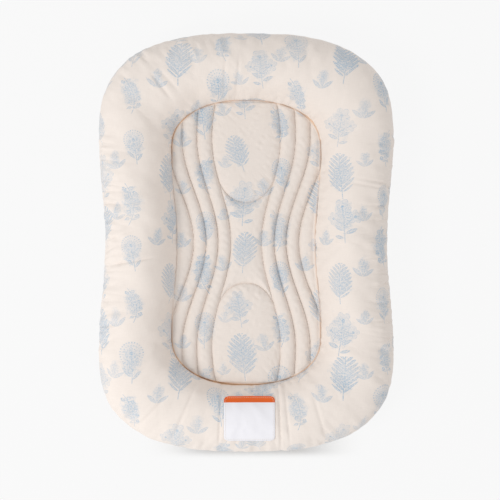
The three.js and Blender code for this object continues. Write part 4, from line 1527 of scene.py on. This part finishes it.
def quilt_surface(x, y):
    """Height of the quilted face above the floor."""
    height = quilt_height(x, y)
    sway = waves(33, QUILT_SWAY, x, y) * smooth(*QUILT_SWAY_FROM, height)
    return VALLEY + height + rim_lift(x, y) + sway


def rim_lift(x, y):
    """How far the pad's edge is drawn up to its seam with the bolster."""
    rim = QUILT_PLAN.depth(x, y)
    lift = blend(RIM_LIFT, RIM_LIFT_RIGHT, smooth(*RIGHT_FROM, x))
    return lift * (1 - smooth(0, RIM_LIFT_REACH, rim))


def quilt_plan(rows, columns):
    """Grid over the pad: its columns follow the long sides and its rows follow the ends."""
    corner_x, corner_y = QUILT_PLAN.point(2 / 3)
    u = np.linspace(-1, 1, columns)[None, :]
    v = np.linspace(-1, 1, rows)[:, None]
    x = u * QUILT_PLAN.half_width_at(v * corner_y)
    return x, v * QUILT_PLAN.half_length_at(u * corner_x)


def pad_body(x, y, z):
    """Points and faces of a closed pad from its grid of upper points."""
    rows, columns = x.shape
    top = np.dstack([x, y, z]).reshape(-1, 3)
    count = len(top)
    rim = rim_of(rows, columns)
    foot = top[rim] * [1, 1, 0] + [0, 0, QUILT_BOTTOM]
    after = np.roll(np.arange(len(rim)), -1)
    sides = np.stack([rim, count + np.arange(len(rim)), count + after, rim[after]], -1)
    faces = grid_faces(rows, columns)[:, ::-1].tolist() + sides.tolist()
    middle = np.full(len(rim), count + len(rim))
    faces += np.stack([count + after, count + np.arange(len(rim)), middle], -1).tolist()
    return np.concatenate([top, foot, [[0, 0, QUILT_BOTTOM]]]), faces, count


def quilt_run():
    """Crinkles of the quilted cloth between its stitches, from a cloth run."""
    x, y = quilt_plan(QUILT_RUN_ROWS, QUILT_RUN_COLUMNS)
    height = quilt_height(x, y)
    start = waves(54, QUILT_RUN_WAVE, x, y) * smooth(*QUILT_RUN_PUFFED, height)
    points, faces, count = pad_body(x, y, VALLEY + height + start)
    held = np.ones(len(points), bool)
    held[:count] = (height < QUILT_HELD_BELOW).ravel()
    spare = np.ones(len(points))
    moved = cloth_run(points, faces, held, spare, QUILT_SWELL)[:count, 2].reshape(x.shape)
    offset = moved - VALLEY - height
    steps = (2 * PAD.half_length / QUILT_RUN_ROWS, 2 * PAD.half_width / QUILT_RUN_COLUMNS)
    broad = blurred(offset, [QUILT_SMOOTHING / step for step in steps], (False, False))
    relief = np.clip((offset - broad) * QUILT_RUN_SHARE, -QUILT_CAP, QUILT_CAP)
    rim = QUILT_PLAN.depth(x, y)
    relief = relief * smooth(*QUILT_RUN_FADE, height) * smooth(*QUILT_RUN_RIM, rim)
    return resampled(relief, QUILT_ROWS, QUILT_COLUMNS)


def make_quilt():
    x, y = quilt_plan(QUILT_ROWS, QUILT_COLUMNS)
    z = quilt_surface(x, y)
    z = z + quilt_run()
    points, faces, count = pad_body(x, y, z)
    made = make_object("quilt", points, faces)
    set_vectors(made, "fabric_pos", points * [1, 1, 0] + PRINT_SHIFT)
    # Painted shade in the stitched valleys and along the pad's edge; the pad's sides and bottom get
    # painted shade at half strength
    valley = 1 - smooth(*VALLEY_SHADE, quilt_height(x, y).ravel())
    rim = QUILT_PLAN.depth(x, y).ravel()
    edge = (1 - smooth(*RIM_SHADE, rim)) * painted_seam_shade(x, y).ravel()
    valley = np.maximum(valley * VALLEY_SHADE_SHARE, edge)
    set_values(made, "painted_crevice_shade", np.concatenate([valley, np.ones(len(points) - count) * 0.5]))
    set_smooth(made)
    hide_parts("quilt_face", "quilt_wadding")
    return dress(made, "quilted_cloth")


def make_quilt_stitches():
    """Thread along every stitched line of the quilt."""
    paths = []
    plan = PAD.inset(QUILT_STITCH_INSET)
    y = np.arange(-PAD.half_length, PAD.half_length, STITCH_LINE_STEP)
    edge = plan.half_width_at(y)
    inside_end = np.abs(y) < plan.half_length
    for line, wide in zip(STITCH_LINES, channel_bounds(y)):
        shown = inside_end & (stitch_at(line, y) < edge) & (wide < edge)
        runs = np.split(np.arange(len(y)), np.where(np.diff(shown.astype(int)) != 0)[0] + 1)
        for run in runs:
            if shown[run[0]] and len(run) > 5:
                paths += [(side * wide[run], y[run]) for side in (-1, 1)]
    x = np.arange(-STITCH_LINES[0][1], STITCH_LINES[0][1], STITCH_LINE_STEP)
    tip = tip_at(x)
    inside = np.abs(x) < stitch_at(STITCH_LINES[0], tip)
    x, tip = x[inside], tip[inside]
    paths += [(x, tip), (x, -tip)]
    lifted = []
    for x, y in paths:
        points = np.stack([x, y, VALLEY + rim_lift(x, y) + STITCH_RADIUS], -1)
        lifted.append((points, np.tile([0.0, 0.0, 1.0], (len(x), 1))))
    return threads("quilt_stitches", lifted)


# Patch

def patch_half_width(from_end):
    """Half width of the patch at a distance from its nearer end, with rounded corners."""
    short = np.clip(PATCH_CORNER - from_end, 0, PATCH_CORNER)
    return PATCH_HALF_WIDTH - PATCH_CORNER + np.sqrt(PATCH_CORNER**2 - short**2)


def make_patch(bolster):
    """The patch, laid on the bolster. Gives the path of its stitches back."""
    graph = bpy.context.evaluated_depsgraph_get()
    tree = BVHTree.FromObject(bolster, graph)
    y = np.linspace(PATCH_NEAR, PATCH_FAR, PATCH_ROWS)[:, None]
    from_end = np.minimum(y - PATCH_NEAR, PATCH_FAR - y)
    x = PATCH_ASIDE + np.linspace(-1, 1, PATCH_COLUMNS)[None, :] * patch_half_width(from_end)
    y = y + np.zeros(x.shape)
    z = np.zeros(x.shape)
    for at in np.ndindex(x.shape):
        start = Vector((x[at], -y[at], PROBE_HEIGHT))
        z[at] = tree.ray_cast(start, Vector((0, 0, -1)))[0].z
    crown = z.copy()
    for _ in range(PATCH_SMOOTHINGS):
        wide = np.pad(z, 1, mode="edge")
        around = wide[:-2, 1:-1] + wide[2:, 1:-1] + wide[1:-1, :-2] + wide[1:-1, 2:]
        z = np.maximum(around / 4, crown)
    low = np.dstack([x, -y, z + PATCH_LIFT])
    normals = grid_normals(low, closed=False)
    normals = normals * np.sign(normals[..., 2:])
    high = low + normals * PATCH_THICKNESS
    profile = z.mean(1)
    steps = np.hypot(np.diff(profile), np.diff(y[:, 0]))
    along = np.tile(travel(steps)[:, None], (1, PATCH_COLUMNS))
    points = np.concatenate([high.reshape(-1, 3), low.reshape(-1, 3)])
    made = make_object("patch", points, layer_faces(PATCH_ROWS, PATCH_COLUMNS))
    flat = np.dstack([x, along, np.zeros(x.shape)]).reshape(-1, 3)
    set_vectors(made, "fabric_pos", np.concatenate([flat, flat]))
    set_smooth(made)
    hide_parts("label_patch")
    dress(made, "patch_satin")
    return stitch_ring(high, normals)


def stitch_ring(high, normals):
    """A closed path just inside the patch's edge, with its normals."""
    first = PATCH_STITCH_STEPS
    last_row = PATCH_ROWS - 1 - first
    last_column = PATCH_COLUMNS - 1 - first
    loop = [(first, j) for j in range(first, last_column + 1)]
    loop += [(i, last_column) for i in range(first, last_row + 1)]
    loop += [(last_row, j) for j in range(last_column, first - 1, -1)]
    loop += [(i, first) for i in range(last_row, first - 1, -1)]
    points = np.array([high[i, j] for i, j in loop])
    ups = np.array([normals[i, j] for i, j in loop])
    return points, ups


# Underside

def underside_grid(side):
    """Places of one half of the base, from its outer edge to the middle of the lounger."""
    turns = np.linspace(-1, 1, UNDERSIDE_ROWS) if side > 0 else np.linspace(3, 1, UNDERSIDE_ROWS)
    inner, outer = PAD.point(turns), LOUNGER.point(turns)
    width = np.hypot(*(outer - inner).T)
    outward = (outer - inner) / width[:, None]
    x, z = section_point(np.array(UNDERSIDE_DEGREES)[None, :], width[:, None])
    z = np.maximum(z, 0)
    rising = np.linspace(BAND_INNER_SHARE, PLATEAU_SHARE, UNDERSIDE_RISE_COLUMNS)
    shares = np.concatenate([UNDERSIDE_FLOOR_SHARES, rising])
    x = np.concatenate([x, np.outer(width, shares)], 1)
    z = np.concatenate([z, np.tile(base_rise(shares), (UNDERSIDE_ROWS, 1))], 1)
    edge = placed(inner, outward, x, z)
    plateau = np.abs(edge[:, -1, 0])
    share = np.linspace(0, 1, UNDERSIDE_MIDDLE_COLUMNS)[1:]
    across = plateau[:, None] + (SLOT_HALF_WIDTH - plateau[:, None]) * share
    across = np.where(plateau[:, None] > SLOT_HALF_WIDTH, across, plateau[:, None])
    across = np.concatenate([across, np.zeros((UNDERSIDE_ROWS, 1))], 1)
    y = np.tile(edge[:, -1:, 1], (1, across.shape[1]))
    for end in (-1, 1):
        beyond = np.where(end * y[:, -1] > SLOT_HALF_LENGTH)[0][::end]
        last = y[beyond[-1], -1]
        at_middle = np.linspace(end * SLOT_HALF_LENGTH, last, len(beyond))[:, None]
        inward = 1 - across[beyond] / np.maximum(plateau[beyond, None], SLOT_SLACK)
        y[beyond] = y[beyond] - (y[beyond] - at_middle) * np.clip(inward, 0, 1) ** 2
        y[beyond[0], -2:] = end * SLOT_HALF_LENGTH
    sway = waves(41, UNDERSIDE_SWAY, side * across, y) - UNDERSIDE_SWAY_LOW
    sway = np.minimum(sway, UNDERSIDE_SWAY_TOP)
    sway = sway * smooth(0, UNDERSIDE_SWAY_REACH, across - SLOT_HALF_WIDTH)
    middle = np.dstack([side * across, y, BASE_RISE + sway])
    grid = np.concatenate([edge, middle], 1)
    grid[..., 0] = side * np.maximum(grid[..., 0] * side, CENTRE_SEAM)
    return grid


def make_underside(side, name, node):
    """One half of the base: flat where it rests, raised below the pad, and slotted for the zip."""
    grid = underside_grid(side)
    rows, columns = grid.shape[:2]
    faces = grid_faces(rows, columns)
    in_slot = np.abs(grid[:, -1, 1]) < SLOT_HALF_LENGTH + SLOT_SLACK
    last = faces[:, 0] % columns == columns - 2
    row = faces[:, 0] // columns
    faces = faces[~(last & in_slot[row] & in_slot[np.minimum(row + 1, rows - 1)])]
    if side > 0:
        faces = faces[:, ::-1]
    made = make_object(name, grid.reshape(-1, 3), faces, closed=False)
    joined = merge_close(made)
    set_vectors(made, "fabric_pos", joined * [1, 1, 0])
    solid = made.modifiers.new("thickness", "SOLIDIFY")
    solid.thickness = BASE_THICKNESS
    solid.offset = -1
    apply_modifiers(made)
    set_smooth(made)
    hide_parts(node)
    return dress(made, "plain_cloth")


def make_tape(side, name, node):
    """Woven tape of the zip, with a raised rib at its edge by the teeth."""
    lengthwise = np.linspace(-TAPE_LENGTH / 2, TAPE_LENGTH / 2, TAPE_ROWS)
    share, y = np.meshgrid(np.linspace(0, 1, TAPE_COLUMNS), lengthwise)
    x = side * (TAPE_EDGE + TAPE_WIDTH * share)
    rib = np.where(x * side < TAPE_EDGE + TAPE_RIB, TAPE_RIB_HEIGHT, 0)
    high = np.dstack([x, y, np.full(x.shape, TAPE_LOW + TAPE_THICKNESS)])
    low = np.dstack([x, y, TAPE_LOW - rib])
    faces = layer_faces(TAPE_ROWS, TAPE_COLUMNS)
    if side < 0:
        faces = faces[:, ::-1]
    made = make_object(name, np.concatenate([high.reshape(-1, 3), low.reshape(-1, 3)]), faces)
    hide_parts(node)
    return dress(made, "zip_tape")


def make_base_stitches(name, side):
    """Two rows of thread that hold a tape to the base."""
    y = np.arange(-SLOT_HALF_LENGTH, SLOT_HALF_LENGTH, STITCH_LINE_STEP)
    paths = []
    for away in BASE_STITCH_ROWS:
        x = np.full(len(y), side * (SLOT_HALF_WIDTH + away))
        points = np.stack([x, y, np.full(len(y), BASE_RISE - STITCH_RADIUS)], -1)
        paths.append((points, np.tile([0.0, 0.0, -1.0], (len(y), 1))))
    return threads(name, paths)


def bevelled_copy(node, name, body):
    """A CAD node's own shape with its edges softened."""
    made = add_object(name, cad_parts[node].data.copy())
    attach(made, body)
    bevel = made.modifiers.new("edges", "BEVEL")
    bevel.width = SLIDER_BEVEL
    bevel.segments = 2
    bevel.limit_method = "ANGLE"
    apply_modifiers(made)
    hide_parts(node)
    return dress(made, "zip_metal")


# Camera, light and floor

def make_camera():
    data = bpy.data.cameras.new("camera")
    made = add_object("camera", data)
    centre = FRAME_PIXELS / 2
    x, y = from_photo(centre, centre)
    made.location = (x, y, CAMERA_HEIGHT)
    half_frame = centre * MM_PER_PIXEL * MM
    data.sensor_width = SENSOR_WIDTH
    data.lens = SENSOR_WIDTH / 2 * (CAMERA_HEIGHT - WIDEST) / half_frame
    data.clip_end = CAMERA_REACH
    bpy.context.scene.camera = made


def make_light():
    data = bpy.data.lights.new("key", "AREA")
    data.shape = "DISK"
    data.size = LIGHT_SIZE
    data.energy = LIGHT_POWER
    made = add_object("key", data)
    made.location = LIGHT_PLACE
    towards = Vector(LIGHT_TARGET) - Vector(LIGHT_PLACE)
    made.rotation_euler = towards.to_track_quat("-Z", "Y").to_euler()


def floor_shadows(tree, position):
    """Where the floor's shadows lie: along the foot end, where a shadow is also painted into the
    floor's colour, and below the lounger.
    """
    apart = tree.nodes.new("ShaderNodeSeparateXYZ")
    tree.links.new(position, apart.inputs[0])
    right = Field(tree, apart.outputs[0])
    ahead = Field(tree, apart.outputs[1])
    towards_foot = 0 - ahead
    foot = towards_foot.rise(*FOOT_SHADOW_START) * (1 - towards_foot.rise(*FOOT_SHADOW_END))
    foot = foot * (1 - (right - FOOT_SHADOW_ASIDE).abs().rise(*FOOT_SHADOW_SIDES))
    square = (right.abs() / LOUNGER.half_width).math("POWER", 4)
    square = square + (ahead.abs() / LOUNGER.half_length).math("POWER", 4)
    return foot, 1 - square.rise(*FLOOR_BELOW)


def make_floor():
    """Plain white floor: the eye sees it near white, and it still takes soft shadows.

    Its glow fades out below the lounger and along the foot end, where the shadows lie, and along the
    foot end its colour is darkened as a painted shadow. It lets light through from below and to what
    lies close above it, so that the underside can be seen.
    """
    mesh = bpy.data.meshes.new("floor")
    turns = ((-1, -1), (1, -1), (1, 1), (-1, 1))
    corners = [(x * FLOOR_HALF_SIZE, y * FLOOR_HALF_SIZE, -FLOOR_GAP) for x, y in turns]
    mesh.from_pydata(corners, [], [(0, 1, 2, 3)])
    made = add_object("floor", mesh)
    floor = bpy.data.materials.new("floor")
    floor.use_nodes = True
    tree = floor.node_tree
    shader = tree.nodes["Principled BSDF"]
    shader.inputs["Roughness"].default_value = 0.9
    shader.inputs["Specular IOR Level"].default_value = 0.1
    rays = tree.nodes.new("ShaderNodeLightPath")
    geometry = tree.nodes.new("ShaderNodeNewGeometry")
    foot, below = floor_shadows(tree, geometry.outputs["Position"])
    seen = Field(tree, rays.outputs["Is Camera Ray"])
    near = Field(tree, rays.outputs["Ray Length"]).below(FLOOR_CLEAR) * (1 - seen)
    seen = seen.most(Field(tree, rays.outputs["Is Glossy Ray"]))
    seen = seen.most(Field(tree, rays.outputs["Is Transmission Ray"]))
    # Painted shadow: the floor's own grey is darkened along the foot end
    grey = tree.nodes.new("ShaderNodeCombineColor")
    for socket in grey.inputs:
        tree.links.new((FLOOR_GREY - foot * PAINTED_FOOT_SHADOW_SHARE).socket, socket)
    tree.links.new(grey.outputs[0], shader.inputs["Base Color"])
    glow = tree.nodes.new("ShaderNodeEmission")
    glow.inputs["Color"].default_value = (0.95, 0.95, 0.95, 1)
    clear = tree.nodes.new("ShaderNodeBsdfTransparent")
    share = seen * (FLOOR_GLOW - foot.most(below) * FLOOR_SHADOW_SHARE)
    open_side = Field(tree, geometry.outputs["Backfacing"]).most(near)
    mix = shader_mix(tree, share, shader, glow)
    mix = shader_mix(tree, open_side, mix, clear)
    tree.links.new(mix.outputs[0], tree.nodes["Material Output"].inputs["Surface"])
    mesh.materials.append(floor)


def shader_mix(tree, share, first, second):
    """A mix of two shaders by a number at each point."""
    mix = tree.nodes.new("ShaderNodeMixShader")
    tree.links.new(share.socket, mix.inputs[0])
    tree.links.new(first.outputs[0], mix.inputs[1])
    tree.links.new(second.outputs[0], mix.inputs[2])
    return mix


def make_world():
    world = bpy.data.worlds.new("studio")
    world.use_nodes = True
    background = world.node_tree.nodes["Background"]
    background.inputs["Color"].default_value = (1, 1, 1, 1)
    background.inputs["Strength"].default_value = WORLD_STRENGTH
    bpy.context.scene.world = world


def dress_cad_nodes():
    """Finishes for the CAD nodes that stay."""
    for node, name in (
        ("zip_teeth_left", "zip_plastic"),
        ("zip_teeth_right", "zip_plastic"),
        ("zip_top_stop_left", "zip_plastic"),
        ("zip_top_stop_right", "zip_plastic"),
        ("zip_bottom_stop", "zip_plastic"),
        ("core_pad", "foam"),
        ("quilt_backing", "plain_cloth"),
    ):
        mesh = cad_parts[node].data
        mesh.materials.clear()
        mesh.materials.append(material(name))


make_camera()
make_world()
make_light()
make_floor()
bpy.context.scene.view_settings.view_transform = "Standard"

bolster_shape = bolster_cloth()
bolster = make_bolster(bolster_shape)
make_quilt()
make_quilt_stitches()
patch_ring = make_patch(bolster)
patch_stitches = threads("patch_stitches", [patch_ring])
make_elastic(bolster_shape, -1, "elastic_left", "side_elastic_left")
make_elastic(bolster_shape, 1, "elastic_right", "side_elastic_right")
make_underside(-1, "underside_left", "base_panel_left")
make_underside(1, "underside_right", "base_panel_right")
make_tape(-1, "tape_left", "zip_tape_left")
make_tape(1, "tape_right", "zip_tape_right")
make_base_stitches("base_stitches_left", -1)
make_base_stitches("base_stitches_right", 1)
bevelled_copy("zip_slider", "slider", "zip_slider_body")
bevelled_copy("zip_pull", "pull", "zip_pull_body")
dress_cad_nodes()
